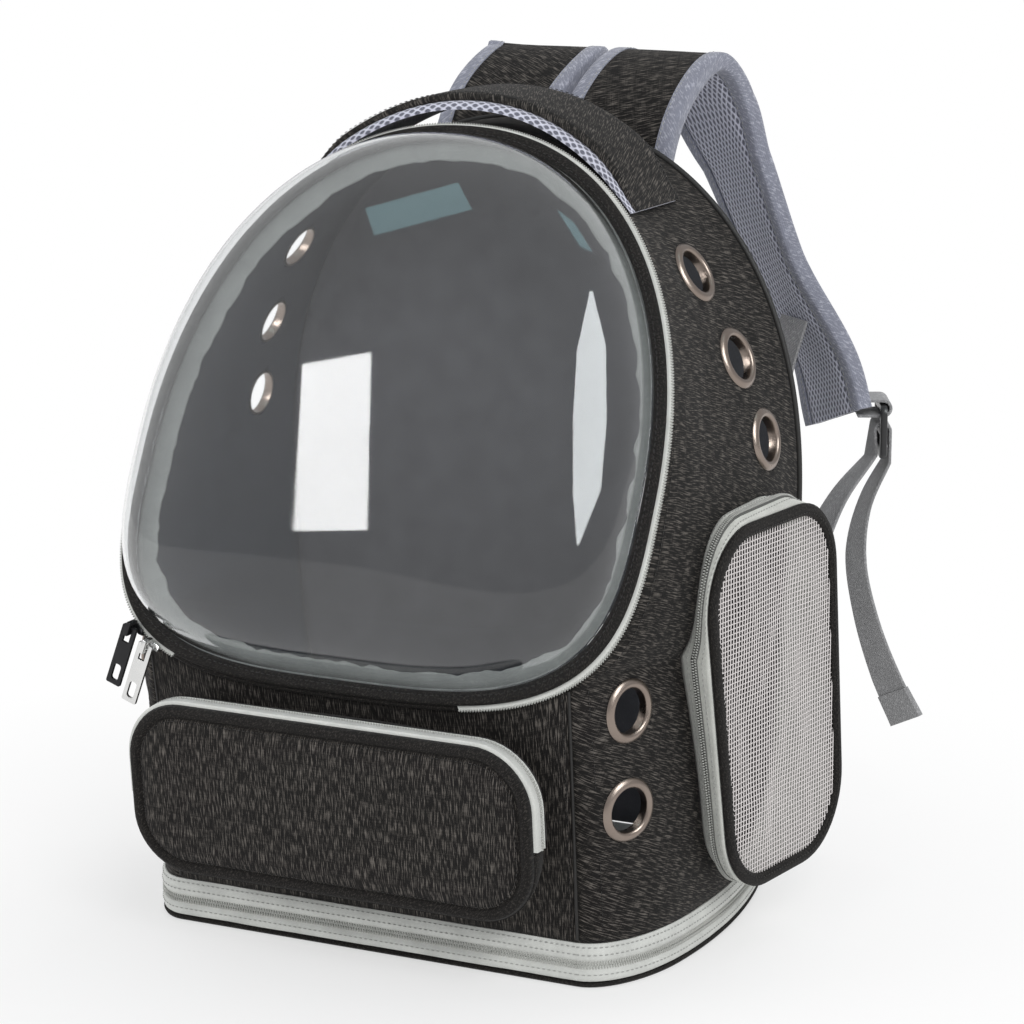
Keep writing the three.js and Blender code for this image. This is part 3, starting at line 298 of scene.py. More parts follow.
def wall_shares(corner_count, side_count):
    """Shares of the way back, closer together round the front corner."""
    corner = [CORNER_SHARE * (1 - math.cos(math.pi / 2 * i / corner_count)) for i in range(corner_count)]
    return corner + [mix(CORNER_SHARE, 1, i / side_count) for i in range(side_count + 1)]


def wall_out(t, s):
    step = 0.004
    along = wall_point(min(t + step, 1), s) - wall_point(max(t - step, 0), s)
    back = wall_point(t, min(s + step, 1)) - wall_point(t, max(s - step, 0))
    out = back.cross(along).normalized()
    if t > 1 - step:
        out.x = 0
        out.normalize()
    return out


def wall_at(depth, height):
    """The shell's place and outward direction at a depth and a height."""
    t, s = mix(0.02, 0.7, (height - WALL_FOOT) / (BODY_HEIGHT - WALL_FOOT)), (depth - FRONT) / (BACK - FRONT)
    step = 1e-3
    for _ in range(30):
        here = wall_point(t, s)
        by_t = (wall_point(t + step, s) - here) / step
        by_s = (wall_point(t, s + step) - here) / step
        miss_y, miss_z = depth - here.y, height - here.z
        scale = by_t.y * by_s.z - by_s.y * by_t.z
        t = min(max(t + (miss_y * by_s.z - miss_z * by_s.y) / scale, 0.001), 0.995)
        s = min(max(s + (miss_z * by_t.y - miss_y * by_t.z) / scale, 0.001), 0.995)
    return wall_point(t, s), wall_out(t, s)


def flipped(point, sign):
    return Vector((sign * point.x, point.y, point.z))


# Black heather cloth, used for the body
# A padded canvas woven from black yarn with loose pale fibres, which show as short streaks.
WARP_SHARE = 0.86
WEFT_SHARE = 0.14
WEAVE_DEPTH = 0.0006


def node_group(name, kind, inputs, outputs):
    """A node group with its entry and exit; the sockets are given as names with their types."""
    tree = bpy.data.node_groups.new(name, kind)
    for way, sockets in (("INPUT", inputs), ("OUTPUT", outputs)):
        for label, socket_type in sockets.items():
            tree.interface.new_socket(name=label, in_out=way, socket_type="NodeSocket" + socket_type)
    return tree, add_node(tree, "NodeGroupInput").outputs, add_node(tree, "NodeGroupOutput")


def woven_threads():
    """Streaked threads for cloth, tape and webbing: colour, height and roughness."""
    tree, given, leave = node_group("woven_threads", "ShaderNodeTree", {
        "Vector": "Vector", "Thread": "Float", "Streak": "Float", "Slant": "Float",
        "Ground": "Color", "Fleck": "Color", "Amount": "Float",
    }, {"Color": "Color", "Height": "Float", "Roughness": "Float"})
    slanted = {"Vector": given["Vector"], "Angle": given["Slant"]}
    turned = add_node(tree, "ShaderNodeVectorRotate", slanted, rotation_type="Z_AXIS")
    across, along, _ = add_node(tree, "ShaderNodeSeparateXYZ", {0: turned.outputs[0]}).outputs
    thread = given["Thread"]
    run = math_node(tree, "MULTIPLY", thread, given["Streak"])

    def streaks(wide, long, offset):
        wide, long = math_node(tree, "DIVIDE", wide, thread), math_node(tree, "DIVIDE", long, run)
        place = add_node(tree, "ShaderNodeCombineXYZ", {0: wide, 1: long, 2: offset})
        return noise_node(tree, place.outputs[0], 1.0, 2.0)

    def wave(coordinate):
        turns = math_node(tree, "DIVIDE", coordinate, thread)
        return math_node(tree, "SINE", math_node(tree, "MULTIPLY", turns, math.pi))

    warp = streaks(across, along, 0.0)
    weft = math_node(tree, "MULTIPLY", streaks(along, across, 7.3), WEFT_SHARE)
    threads = math_node(tree, "ADD", math_node(tree, "MULTIPLY", warp, WARP_SHARE), weft)
    mask = add_node(tree, "ShaderNodeMapRange", {"Value": threads, "From Min": 0.5, "From Max": 0.68})
    share = math_node(tree, "MULTIPLY", mask.outputs["Result"], given["Amount"])
    shade = math_node(tree, "MULTIPLY_ADD", noise_node(tree, given["Vector"], 60.0, 3.0), 0.5, 0.75)
    yarn = {"Color": color_blend(tree, share, given["Ground"], given["Fleck"]), "Value": shade}
    weave = math_node(tree, "MULTIPLY", wave(across), wave(along))
    fill(tree, leave, {
        "Color": add_node(tree, "ShaderNodeHueSaturation", yarn).outputs["Color"],
        "Height": math_node(tree, "MULTIPLY_ADD", weave, 0.35, math_node(tree, "MULTIPLY", warp, 0.8)),
        "Roughness": math_node(tree, "MULTIPLY_ADD", warp, 0.25, 0.7),
    })
    return tree


WOVEN = woven_threads()


def patterned(name, group, pattern, relief, depth, look):
    """A finish in a group's pattern, laid on the piece's own UVs, which are in metres."""
    material, tree, shader = new_material(name, look)
    place = add_node(tree, "ShaderNodeTexCoord").outputs["UV"]
    made = add_node(tree, "ShaderNodeGroup", {"Vector": place, **pattern}, node_tree=group).outputs
    raised = {"Strength": relief, "Distance": depth, "Height": made["Height"]}
    bump = add_node(tree, "ShaderNodeBump", raised)
    fill(tree, shader, {"Base Color": made["Color"], "Normal": bump.outputs["Normal"]})
    if group == WOVEN:
        fill(tree, shader, {"Roughness": made["Roughness"]})
    return material


def cloth_material(name, ground, fleck, amount, thread, streak, slant=0.0, relief=0.15, sheen=0.03):
    """Woven cloth: the yarn's width is in metres, a streak's length in yarns and its slant in degrees."""
    yarn = {"Ground": ground, "Fleck": fleck, "Amount": amount, "Thread": thread, "Streak": streak}
    look = {"Specular IOR Level": 0.2, "Sheen Weight": sheen, "Sheen Roughness": 0.5}
    return patterned(name, WOVEN, {**yarn, "Slant": math.radians(slant)}, relief, WEAVE_DEPTH, look)


BLACK_YARN = (0.0055, 0.0047, 0.0043)
PALE_YARN = (0.15, 0.135, 0.12)
side_cloth = cloth_material("side_cloth", BLACK_YARN, PALE_YARN, 0.85, 0.0006, 13.0, 112)
front_cloth = cloth_material("front_cloth", BLACK_YARN, PALE_YARN, 0.85, 0.00055, 13.0)
trim_cloth = cloth_material("trim_cloth", BLACK_YARN, PALE_YARN, 0.28, 0.0005, 3.0, 40)
lining_cloth = cloth_material("lining_cloth", (0.040, 0.044, 0.056), (0.07, 0.075, 0.09), 0.4, 0.0005, 4.0)
back_lining = cloth_material("back_lining", (0.105, 0.106, 0.115), (0.15, 0.152, 0.165), 0.4, 0.0005, 4.0)


def in_metres(points):
    return [tuple(point * MM) for point in points]


def smoothed(piece):
    piece.data.polygons.foreach_set("use_smooth", [True] * len(piece.data.polygons))
    return piece


def skin(name, rows, closed_path=False, closed_across=False, caps=False, smooth_angle=40):
    """A skin through rows of points. Its UVs are in metres: v along the rows' path, u across it."""
    count, width = len(rows), len(rows[0])
    middle = width // 2
    path = [0.0]
    for i in range(1, count + 1):
        path.append(path[-1] + (rows[i % count][middle] - rows[i - 1][middle]).length * MM)
    mid_row = rows[count // 2]
    across = [0.0]
    for j in range(1, width + 1):
        across.append(across[-1] + (mid_row[j % width] - mid_row[j - 1]).length * MM)
    points = [point for row in rows for point in row]
    faces, uvs = [], []
    for i in range(count if closed_path else count - 1):
        for j in range(width if closed_across else width - 1):
            for k, m in ((i, j), (i, j + 1), (i + 1, j + 1), (i + 1, j)):
                faces.append(k % count * width + m % width)
                uvs += (across[m], path[k])
    faces = [tuple(faces[i:i + 4]) for i in range(0, len(faces), 4)]
    if caps:
        for ring in (range(width - 1, -1, -1), range((count - 1) * width, count * width)):
            faces.append(tuple(ring))
            for k in ring:
                uvs += (points[k].x * MM, points[k].z * MM)
    mesh = bpy.data.meshes.new(name)
    mesh.from_pydata(in_metres(points), [], faces)
    mesh.uv_layers.new(name="UVMap").data.foreach_set("uv", uvs)
    piece = smoothed(linked(name, mesh))
    mesh.set_sharp_from_angle(angle=math.radians(smooth_angle))
    mesh.update()
    return piece


def outwards(piece):
    """Faces turned outwards on a closed piece."""
    work = bmesh.new()
    work.from_mesh(piece.data)
    bmesh.ops.recalc_face_normals(work, faces=work.faces)
    work.to_mesh(piece.data)
    work.free()
    return piece


def tube_skin(name, rows, smooth_angle=60, caps=True):
    """A skin that closes across its rows."""
    return outwards(skin(name, rows, closed_across=True, caps=caps, smooth_angle=smooth_angle))


def ring_skin(name, rows, smooth_angle=60):
    """A skin that closes both ways."""
    return outwards(skin(name, rows, closed_path=True, closed_across=True, smooth_angle=smooth_angle))


def thicken(piece, thickness, offset=-1, lining=0):
    """A sheet given its thickness in millimetres; its inner face may take the next finish."""
    padding = piece.modifiers.new("cloth", "SOLIDIFY")
    padding.thickness = thickness * MM
    padding.offset = offset
    padding.material_offset = lining
    return piece


def bake(piece):
    """The piece with its modifiers turned into plain mesh."""
    depsgraph = bpy.context.evaluated_depsgraph_get()
    mesh = bpy.data.meshes.new_from_object(piece.evaluated_get(depsgraph))
    piece.modifiers.clear()
    piece.data = mesh
    return piece


def settle(piece, slot, *nodes, body="carrier", finishes=()):
    """A finished piece: its materials, the body that it rides on and the nodes that it stands for."""
    for finish in finishes:
        piece.data.materials.append(finish)
    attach(piece, body)
    if nodes:
        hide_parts(*nodes)
    return piece


# Vents
# Ten eyelets, each a turned and plated brass ring clinched through the cloth, so that the cabin airs.
# Three sit in a row behind the door's upper half on each side, and two beside the front panel.
VENTS = ((344, 39), (300, 46), (257, 54), (144, -84), (93, -84))
VENT_PROFILE = (
    (11.5, -3.4), (11.5, 0.6), (11.8, 1.5), (12.7, 2.2), (13.8, 2.25), (15.0, 1.8), (16.1, 1.0), (16.5, 0.3),
    (16.3, 0.05), (13.0, 0.05), (12.6, -0.4), (12.6, -3.4),
)
VENT_HOLE = 12.8
vent_places = []
for side_name, side_sign in SIDES.items():
    for number, (vent_height, vent_depth) in enumerate(VENTS, 1):
        vent_place = [flipped(vector, side_sign) for vector in wall_at(vent_depth, vent_height)]
        vent_places.append((f"{side_name}_{number}", *vent_place))


def worn_metal(name, base, worn, amount, roughness, metallic=1.0):
    """Metal whose tarnish varies over the piece, in its colour and roughness."""
    material, tree, shader = new_material(name, {"Metallic": metallic})
    cloud = noise_node(tree, add_node(tree, "ShaderNodeTexCoord").outputs["Object"], 90.0, 6.0)
    fill(tree, shader, {
        "Base Color": color_blend(tree, math_node(tree, "MULTIPLY", cloud, amount), base, worn),
        "Roughness": math_node(tree, "MULTIPLY_ADD", cloud, 0.2, roughness - 0.1),
    })
    return material


aged_nickel = worn_metal("aged_nickel", (0.31, 0.26, 0.225), (0.20, 0.155, 0.13), 0.7, 0.3)


VENT_STEPS = 48
for vent_name, vent_middle, vent_normal in vent_places:
    vent_turn = UPRIGHT.rotation_difference(vent_normal).to_matrix()
    vent_rows = []
    for i in range(VENT_STEPS):
        angle = FULL_TURN * i / VENT_STEPS
        cos, sin = math.cos(angle), math.sin(angle)
        vent_rows.append([vent_middle + vent_turn @ Vector((r * cos, r * sin, h)) for r, h in VENT_PROFILE])
    vent = ring_skin(f"vent_{vent_name}", vent_rows, 50)
    settle(vent, "aged_nickel", f"vent_ring_{vent_name}", finishes=[aged_nickel])

# Side and top wall
# One long padded cloth panel that runs up one side, over the top and down the other, sewn to the
# door's zip in front and to the back panel behind, with a grey lining inside.
WALL_STEPS = 120
VENT_SEAT = (17.5, 27.0)
VENT_SEAT_DEPTH = 12
CORNER_COLUMNS = 12
SIDE_COLUMNS = 22


def seated(point):
    """Cloth pressed flat under each vent ring."""
    for _, middle, normal in vent_places:
        offset = point - middle
        lift = offset.dot(normal)
        reach = (offset - normal * lift).length
        if reach < VENT_SEAT[1] and abs(lift) < VENT_SEAT_DEPTH:
            point = point - normal * lift * (1 - smooth(reach, *VENT_SEAT))
    return point


def wall_rows():
    shares = wall_shares(CORNER_COLUMNS, SIDE_COLUMNS)
    rows = []
    for i in range(-WALL_STEPS, WALL_STEPS + 1):
        t = 1 - abs(i) / WALL_STEPS
        sign = 1 if i <= 0 else -1
        row = []
        for s in shares:
            point, out = wall_point(t, s), wall_out(t, s)
            free = smooth(s, 0.02, 0.25) * smooth(1 - s, 0.0, 0.2)
            pull = noise.noise(point * 0.018) * 1.1 + noise.noise(point * 0.05) * 0.35
            point = point + out * pull * free
            row.append(seated(flipped(point, sign)))
        rows.append(row)
    return rows


wall_shape = wall_rows()
wall = skin("side_wall", wall_shape, smooth_angle=180)
unrolled = [[0.0] * len(wall_shape[0])]
for row_before, row_after in zip(wall_shape, wall_shape[1:]):
    strides = [math.hypot(b.x - a.x, b.z - a.z) * MM for a, b in zip(row_before, row_after)]
    unrolled.append([run + stride for run, stride in zip(unrolled[-1], strides)])
unrolled = [run for row in unrolled for run in row]
across_cloth = []
for row in wall_shape:
    across_cloth.append(row[0].y * MM)
    for a, b in zip(row, row[1:]):
        across_cloth.append(across_cloth[-1] + math.hypot(b.x - a.x, b.y - a.y) * MM)
for corner in wall.data.loops:
    number = corner.vertex_index
    wall.data.uv_layers[0].data[corner.index].uv = (across_cloth[number], unrolled[number])
wall.data.materials.append(side_cloth)
wall.data.materials.append(lining_cloth)
thicken(wall, CLOTH, lining=1)
hole_cutters = bmesh.new()
for _, vent_middle, vent_normal in vent_places:
    hole_turn = UPRIGHT.rotation_difference(vent_normal).to_matrix().to_4x4()
    hole_turn.translation = vent_middle * MM
    bmesh.ops.create_cone(hole_cutters, cap_ends=True, segments=32, radius1=VENT_HOLE * MM,
                          radius2=VENT_HOLE * MM, depth=10 * CLOTH * MM, matrix=hole_turn)
cutter_mesh = bpy.data.meshes.new("vent_holes")
hole_cutters.to_mesh(cutter_mesh)
hole_cutters.free()
cutter = linked("vent_holes", cutter_mesh)
hole_cut = wall.modifiers.new("vent holes", "BOOLEAN")
hole_cut.operation = "DIFFERENCE"
hole_cut.object = cutter
hole_cut.solver = "EXACT"
bake(wall)
bpy.data.objects.remove(cutter)
settle(wall, "black_cloth", "side_top_wall")

# Front panel
# A flat cloth panel under the door, sewn to the side wall along two upright felled seams.


def panel_top(share):
    x, up = door_outline(mix(-math.pi / 2, DOOR_SEAM_ANGLE, abs(share)))
    return door_place(math.copysign(x, share) if share else 0.0, up, 0)


def panel_point(share, height):
    foot = Vector((PANEL_WIDTH / 2 * share, FRONT, WALL_FOOT))
    return foot.lerp(panel_top(share), height)


def panel_depth(x, z):
    share = x / (PANEL_WIDTH / 2)
    for _ in range(12):
        top = panel_top(share)
        share += (x - panel_point(share, (z - WALL_FOOT) / (top.z - WALL_FOOT)).x) / (PANEL_WIDTH / 2)
    return panel_point(share, (z - WALL_FOOT) / (panel_top(share).z - WALL_FOOT)).y


PANEL_COLUMNS = 40
PANEL_LEVELS = 24
panel_rows = []
for i in range(PANEL_COLUMNS + 1):
    row = []
    share = 2 * i / PANEL_COLUMNS - 1
    for j in range(PANEL_LEVELS + 1):
        point = panel_point(share, j / PANEL_LEVELS)
        point.y -= 0.2 + noise.noise(point * 0.03) * 0.7 * smooth(1 - abs(share), 0, 0.2)
        row.append(point)
    panel_rows.append(row)
def swapped_uvs(piece):
    """UVs with their two directions exchanged."""
    for loop in piece.data.uv_layers[0].data:
        loop.uv = (loop.uv[1], loop.uv[0])
    return piece


front_panel = swapped_uvs(skin("front_panel_cloth", panel_rows, smooth_angle=180))
front_panel.data.flip_normals()
front_panel.data.materials.append(front_cloth)
front_panel.data.materials.append(lining_cloth)
bake(thicken(front_panel, CLOTH, lining=1))
settle(front_panel, "black_cloth", "front_panel")

# Sewn rows and zip teeth
# Stitches and coil teeth are small beads set along a line, each turned to follow it.


def finished_tree(tree, shape, finish, leave):
    """The end of a tree that grows a piece: one mesh in its finish."""
    whole = add_node(tree, "GeometryNodeRealizeInstances", {"Geometry": shape})
    coated = {"Geometry": whole.outputs["Geometry"], "Material": finish}
    fill(tree, leave, {"Geometry": add_node(tree, "GeometryNodeSetMaterial", coated).outputs["Geometry"]})
    return tree


def bead_tree():
    tree, given, leave = node_group("beads_in_a_row", "GeometryNodeTree", {
        "Geometry": "Geometry", "Length": "Float", "Width": "Float", "Height": "Float", "Finish": "Material",
    }, {"Geometry": "Geometry"})
    bead = add_node(tree, "GeometryNodeMeshIcoSphere", {"Radius": 0.5, "Subdivisions": 1})
    sizes = {0: given["Length"], 1: given["Width"], 2: given["Height"]}
    turn = {}
    for axis, name, pivot in (("Z", "out", "AUTO"), ("X", "along", "Z")):
        direction = add_node(tree, "GeometryNodeInputNamedAttribute", {"Name": name},
                             data_type="FLOAT_VECTOR")
        align = add_node(tree, "FunctionNodeAlignRotationToVector",
                         {"Vector": direction.outputs["Attribute"], **turn}, axis=axis, pivot_axis=pivot)
        turn = {"Rotation": align.outputs["Rotation"]}
    spread = add_node(tree, "GeometryNodeInstanceOnPoints", {
        "Points": given["Geometry"], "Instance": bead.outputs["Mesh"],
        "Scale": add_node(tree, "ShaderNodeCombineXYZ", sizes).outputs[0], **turn,
    })
    return finished_tree(tree, spread.outputs["Instances"], given["Finish"], leave)


BEADS = bead_tree()


def grown_piece(mesh, tree, **values):
    """A piece that a node tree grows from a mesh; the tree's inputs are given by name."""
    piece = linked(mesh.name, mesh)
    growth = piece.modifiers.new(tree.name, "NODES")
    growth.node_group = tree
    for item in tree.interface.items_tree:
        if item.in_out == "INPUT" and item.name in values:
            growth[item.identifier] = values[item.name]
    return smoothed(bake(piece))


def spaced(line, spacing, closed=False, skip=0.0):
    """Even spots along a line of (point, outward) pairs, as point, direction and outward."""
    if closed:
        line = line + [line[0]]
    spots, travelled, target = [], 0.0, skip
    for (a, out_a), (b, out_b) in zip(line, line[1:]):
        length = (b - a).length
        while length and target <= travelled + length:
            share = (target - travelled) / length
            spots.append((a.lerp(b, share), (b - a).normalized(), out_a.lerp(out_b, share).normalized()))
            target += spacing
        travelled += length
    return spots


def bead_row(name, spots, finish, length, width, height, slot):
    mesh = bpy.data.meshes.new(name)
    mesh.from_pydata(in_metres(point for point, _, _ in spots), [], [])
    for label, column in (("along", 1), ("out", 2)):
        layer = mesh.attributes.new(label, "FLOAT_VECTOR", "POINT")
        layer.data.foreach_set("vector", [value for spot in spots for value in spot[column]])
    row = grown_piece(mesh, BEADS, Length=length * MM, Width=width * MM, Height=height * MM, Finish=finish)
    return settle(row, slot)


thread_black = plain_material("black_thread", (0.012, 0.011, 0.010), 0.6)
thread_grey = plain_material("grey_thread", (0.34, 0.345, 0.33), 0.6)
coil_grey = plain_material("zip_coil", (0.42, 0.425, 0.40), 0.35)
STITCH_SHARE = 0.72
STITCH_WIDTH = 0.55
STITCH_HEIGHT = 0.5
TOOTH_SPACING = 0.75
TOOTH_WIDTH = 0.95
TOOTH_HEIGHT = 1.5


def stitches(name, line, finish=thread_black, slot="black_cloth", closed=False, pitch=3.0, lift=0.15):
    lifted = [(point + out * lift, out) for point, out in line]
    spots = spaced(lifted, pitch, closed, 0.5)
    return bead_row(name, spots, finish, pitch * STITCH_SHARE, STITCH_WIDTH, STITCH_HEIGHT, slot)


def zip_teeth(name, line, closed=False, width=2.3, gap=1.05):
    """Two rows of coil turns that lie across the line and mesh with each other."""
    spots = []
    for number, (point, along, out) in enumerate(spaced(line, TOOTH_SPACING, closed)):
        across = along.cross(out).normalized() * (1 if number % 2 else -1)
        spots.append((point + across * gap, across, out))
    return bead_row(name, spots, coil_grey, width, TOOTH_WIDTH, TOOTH_HEIGHT, "grey_tape")


# Base tray
# The stiffened black underside, a board in cloth whose bound edge shows as a thin strip.
def footprint(reach):
    """The body's outline at its foot, moved out by a reach, as points seen from above."""
    right = [wall_point(0, s) for s in wall_shares(14, 16)]
    across = [i / 24 for i in range(1, 24)]
    front = [Vector((mix(-PANEL_WIDTH / 2, PANEL_WIDTH / 2, share), FRONT, 0)) for share in across]
    back = [Vector((mix(right[-1].x, -right[-1].x, share), BACK, 0)) for share in across]
    outline = right + back + [flipped(point, -1) for point in reversed(right)] + front
    return moved_out([Vector((point.x, point.y)) for point in outline], reach)


def moved_out(outline, reach):
    """A closed outline moved outwards by a reach."""
    size = len(outline)
    area = 0
    for i, point in enumerate(outline):
        after = outline[(i + 1) % size]
        area += point.x * after.y - after.x * point.y
    turn = 1 if area > 0 else -1
    moved = []
    for i, point in enumerate(outline):
        before, after = outline[i - 1], outline[(i + 1) % size]
        first = Vector((point.y - before.y, before.x - point.x)).normalized()
        second = Vector((after.y - point.y, point.x - after.x)).normalized()
        middle = (first + second).normalized()
        moved.append(point + middle * (turn * reach / max(middle.dot(first), 0.5)))
    return moved


def stacked(rings):
    """Rows of points for rings given as (reach, height) steps round the foot."""
    return [[Vector((point.x, point.y, height)) for point in footprint(reach)] for reach, height in rings]


tray_rings = ((-14, 0.3), (-2, 0.0), (0.6, 0.5), (1.2, 1.5), (0.6, 2.5), (-2, 3.0), (-14, 3.0))
tray = tube_skin("base_tray_cloth", stacked(tray_rings))
settle(tray, "black_cloth", "base_tray", finishes=[trim_cloth])

# Base zip band
# A broad pale zip tape runs right round the foot, so that the base opens flat for cleaning. Its coil
# lies in the middle, between two lines of stitches.
pale_tape = cloth_material("pale_tape", (0.59, 0.60, 0.57), (0.70, 0.71, 0.68), 0.6, 0.0005, 4.0, 35,
                           relief=0.12, sheen=0.15)
BAND_LOW, BAND_HIGH, BAND_COIL = 3.3, 23.3, 12.2
band_profile = (
    (0.2, BAND_LOW), (1.0, 3.9), (1.5, 6.0), (1.4, 9.0), (0.9, 9.6), (0.5, BAND_COIL), (0.9, 14.8),
    (1.5, 15.4), (1.6, 19.0), (1.1, 22.0), (0.4, BAND_HIGH), (-2.6, BAND_HIGH), (-2.6, BAND_LOW),
)
band_rows = stacked(band_profile)
for row in band_rows:
    for point in row:
        point.z += noise.noise(Vector((point.x, point.y, 0)) * 0.05) * 0.25
band = tube_skin("base_zip_tape", band_rows + band_rows[:1], 50, caps=False)
settle(swapped_uvs(band), "grey_tape", "base_zip_band", finishes=[pale_tape])


def foot_line(reach, height):
    """A line round the foot with its outward directions."""
    line = []
    for outer, near in zip(footprint(reach), footprint(reach - 1)):
        out = (outer - near).normalized()
        line.append((Vector((outer.x, outer.y, height)), Vector((out.x, out.y, 0))))
    return line


zip_teeth("base_zip_coil", foot_line(1.0, BAND_COIL), closed=True)
for row_name, row_reach, row_height in (("low", 1.5, 7.2), ("high", 1.65, 17.6), ("top", 1.3, 21.6)):
    stitches(f"base_zip_stitch_{row_name}", foot_line(row_reach, row_height), thread_grey, "grey_tape", True)

# Floor pad
# A loose foam mat in brushed lavender-grey cloth, with a welt round its edge.
pad_fleece = cloth_material("pad_fleece", (0.30, 0.30, 0.36), (0.40, 0.40, 0.46), 0.5, 0.0012, 2.0,
                            relief=0.3, sheen=0.5)
pad_steps = (
    (-40, 3.6), (-12, 3.4), (-9.5, 5.2), (-9, 8.4), (-9, 9.3), (-9, 10.2), (-9.6, 12.8), (-12, 14.6),
    (-20, 15.1), (-36, 15.3),
)
floor_pad = tube_skin("floor_mat", stacked(pad_steps), 70)
settle(floor_pad, "pad_cloth", "floor_pad", finishes=[pad_fleece])

# Back panel
# The side that lies against the wearer: a board in black cloth under quilted air mesh.
BACK_FACE = 95.3
BACK_THICKNESS = 4
BACK_STEPS = 64


def air_mesh_group():
    """Knitted spacer mesh: rows of small holes in a pale lattice; the holes' dark colour is painted shade
    down in each hole.
    """
    tree, given, leave = node_group("air_mesh", "ShaderNodeTree", {
        "Vector": "Vector", "Pitch": "Float", "Lattice": "Color", "Hole": "Color",
    }, {"Color": "Color", "Height": "Float"})
    across, up, _ = add_node(tree, "ShaderNodeSeparateXYZ", {0: given["Vector"]}).outputs

    def wave(operation):
        diagonal = math_node(tree, operation, across, math_node(tree, "MULTIPLY", up, 0.58))
        turns = math_node(tree, "DIVIDE", diagonal, given["Pitch"])
        return math_node(tree, "COSINE", math_node(tree, "MULTIPLY", turns, math.pi))

    product = math_node(tree, "ABSOLUTE", math_node(tree, "MULTIPLY", wave("ADD"), wave("SUBTRACT")))
    hole = add_node(tree, "ShaderNodeMapRange", {"Value": product, "From Min": 0.25, "From Max": 0.7})
    depth = hole.outputs["Result"]
    fill(tree, leave, {
        "Color": color_blend(tree, depth, given["Lattice"], given["Hole"]),
        "Height": math_node(tree, "SUBTRACT", 1.0, depth),
    })
    return tree


AIR_MESH = air_mesh_group()


# The hole colour is painted shade: it darkens the same spots that the bump sinks.
def mesh_material(name, lattice, hole, pitch, relief=0.6):
    knit = {"Pitch": pitch, "Lattice": lattice, "Hole": hole}
    return patterned(name, AIR_MESH, knit, relief, 0.001, {"Roughness": 0.9, "Sheen Weight": 0.2})


black_mesh = mesh_material("black_air_mesh", (0.030, 0.030, 0.033), (0.006, 0.006, 0.007), 0.0032)


def back_ring(reach, depth):
    """The arch of the back, moved out by a reach."""
    right = [wall_back(i / BACK_STEPS) for i in range(BACK_STEPS + 1)]
    outline = [Vector((point.x, point.z)) for point in right]
    outline += [Vector((-point.x, point.z)) for point in reversed(right[:-1])]
    return [Vector((point.x, depth, point.y)) for point in moved_out(outline, reach)]


back_low, back_high = BACK_FACE, BACK_FACE + BACK_THICKNESS
back_steps = (
    (-8, back_low), (-1, back_low), (0, back_low + 0.8),
    (0, back_high - 0.8), (-1, back_high), (-8, back_high),
)
back_rows = [back_ring(reach, depth) for reach, depth in back_steps]
back_board = tube_skin("back_board", back_rows)
settle(back_board, "black_cloth", "back_panel", finishes=[trim_cloth, back_lining])
for polygon in back_board.data.polygons:
    polygon.material_index = 1 if polygon.normal.y < -0.5 else 0

QUILT_HALF = 90
QUILT_LOW, QUILT_HIGH = 44, 330
QUILT_CHANNEL = 36
quilt_rows = []
for i in range(49):
    quilt_x = mix(-QUILT_HALF, QUILT_HALF, i / 48)
    row = []
    for j in range(61):
        quilt_z = mix(QUILT_LOW, QUILT_HIGH, j / 60)
        edge = smooth(min(QUILT_HALF - abs(quilt_x), quilt_z - QUILT_LOW, QUILT_HIGH - quilt_z), 0, 9)
        groove = 0.35 + 0.65 * smooth(abs(abs(quilt_x) - QUILT_CHANNEL), 0, 12)
        row.append(Vector((quilt_x, back_high + 0.15 + 5.5 * edge * groove, quilt_z)))
    quilt_rows.append(row)
back_quilt = skin("back_quilt", quilt_rows, smooth_angle=180)
back_quilt.data.flip_normals()
bake(thicken(back_quilt, 0.8))
settle(back_quilt, "black_cloth", finishes=[black_mesh])

# Front pocket
# A puffed heather face in a bound edge, on a gusset with a pale zip over its top and down its sides.
POCKET_WIDTH = 229
POCKET_LOW = 43
POCKET_HIGH = 136
POCKET_RADIUS = 32
POCKET_ROOT_INSET = 13
POCKET_ROOT_OUT = 14.5
POCKET_DEPTH = 36
POCKET_LEAN = 0.1
POCKET_ZIP_WIDTH = 9
POCKET_ZIP_END = 84


def rounded_outline(corners, radius, arc_steps, edge_steps):
    """A polygon with rounded corners, walked in the order of its corners."""
    points = []
    size = len(corners)

    def rounding(i):
        corner = Vector(corners[i % size])
        back = (Vector(corners[(i - 1) % size]) - corner).normalized()
        ahead = (Vector(corners[(i + 1) % size]) - corner).normalized()
        half = math.acos(max(min(back.dot(ahead), 1), -1)) / 2
        run = radius / math.tan(half)
        centre = corner + (back + ahead).normalized() * (radius / math.sin(half))
        return corner + back * run, corner + ahead * run, centre

    for i in range(size):
        start, end, centre = rounding(i)
        first, last = start - centre, end - centre
        sweep = math.atan2(first.x * last.y - first.y * last.x, first.dot(last))
        for j in range(arc_steps + 1):
            angle = sweep * j / arc_steps
            cos, sin = math.cos(angle), math.sin(angle)
            points.append(centre + Vector((first.x * cos - first.y * sin, first.x * sin + first.y * cos)))
        following = rounding(i + 1)[0]
        points += [points[-1].lerp(following, j / edge_steps) for j in range(1, edge_steps)]
    return points


def pocket_face_y(z):
    return FRONT - POCKET_ROOT_OUT - POCKET_DEPTH - POCKET_LEAN * (z - (POCKET_LOW + POCKET_HIGH) / 2)


def pocket_corners(inset):
    half, drop = POCKET_WIDTH / 2 - inset, inset / 3
    low, high = POCKET_LOW + drop, POCKET_HIGH - drop
    return [(half, low), (half, high), (-half, high), (-half, low)]


pocket_outline = rounded_outline(pocket_corners(0), POCKET_RADIUS, 12, 16)
pocket_root = rounded_outline(pocket_corners(POCKET_ROOT_INSET), POCKET_RADIUS, 12, 16)
pocket_middle = Vector((0, (POCKET_LOW + POCKET_HIGH) / 2))


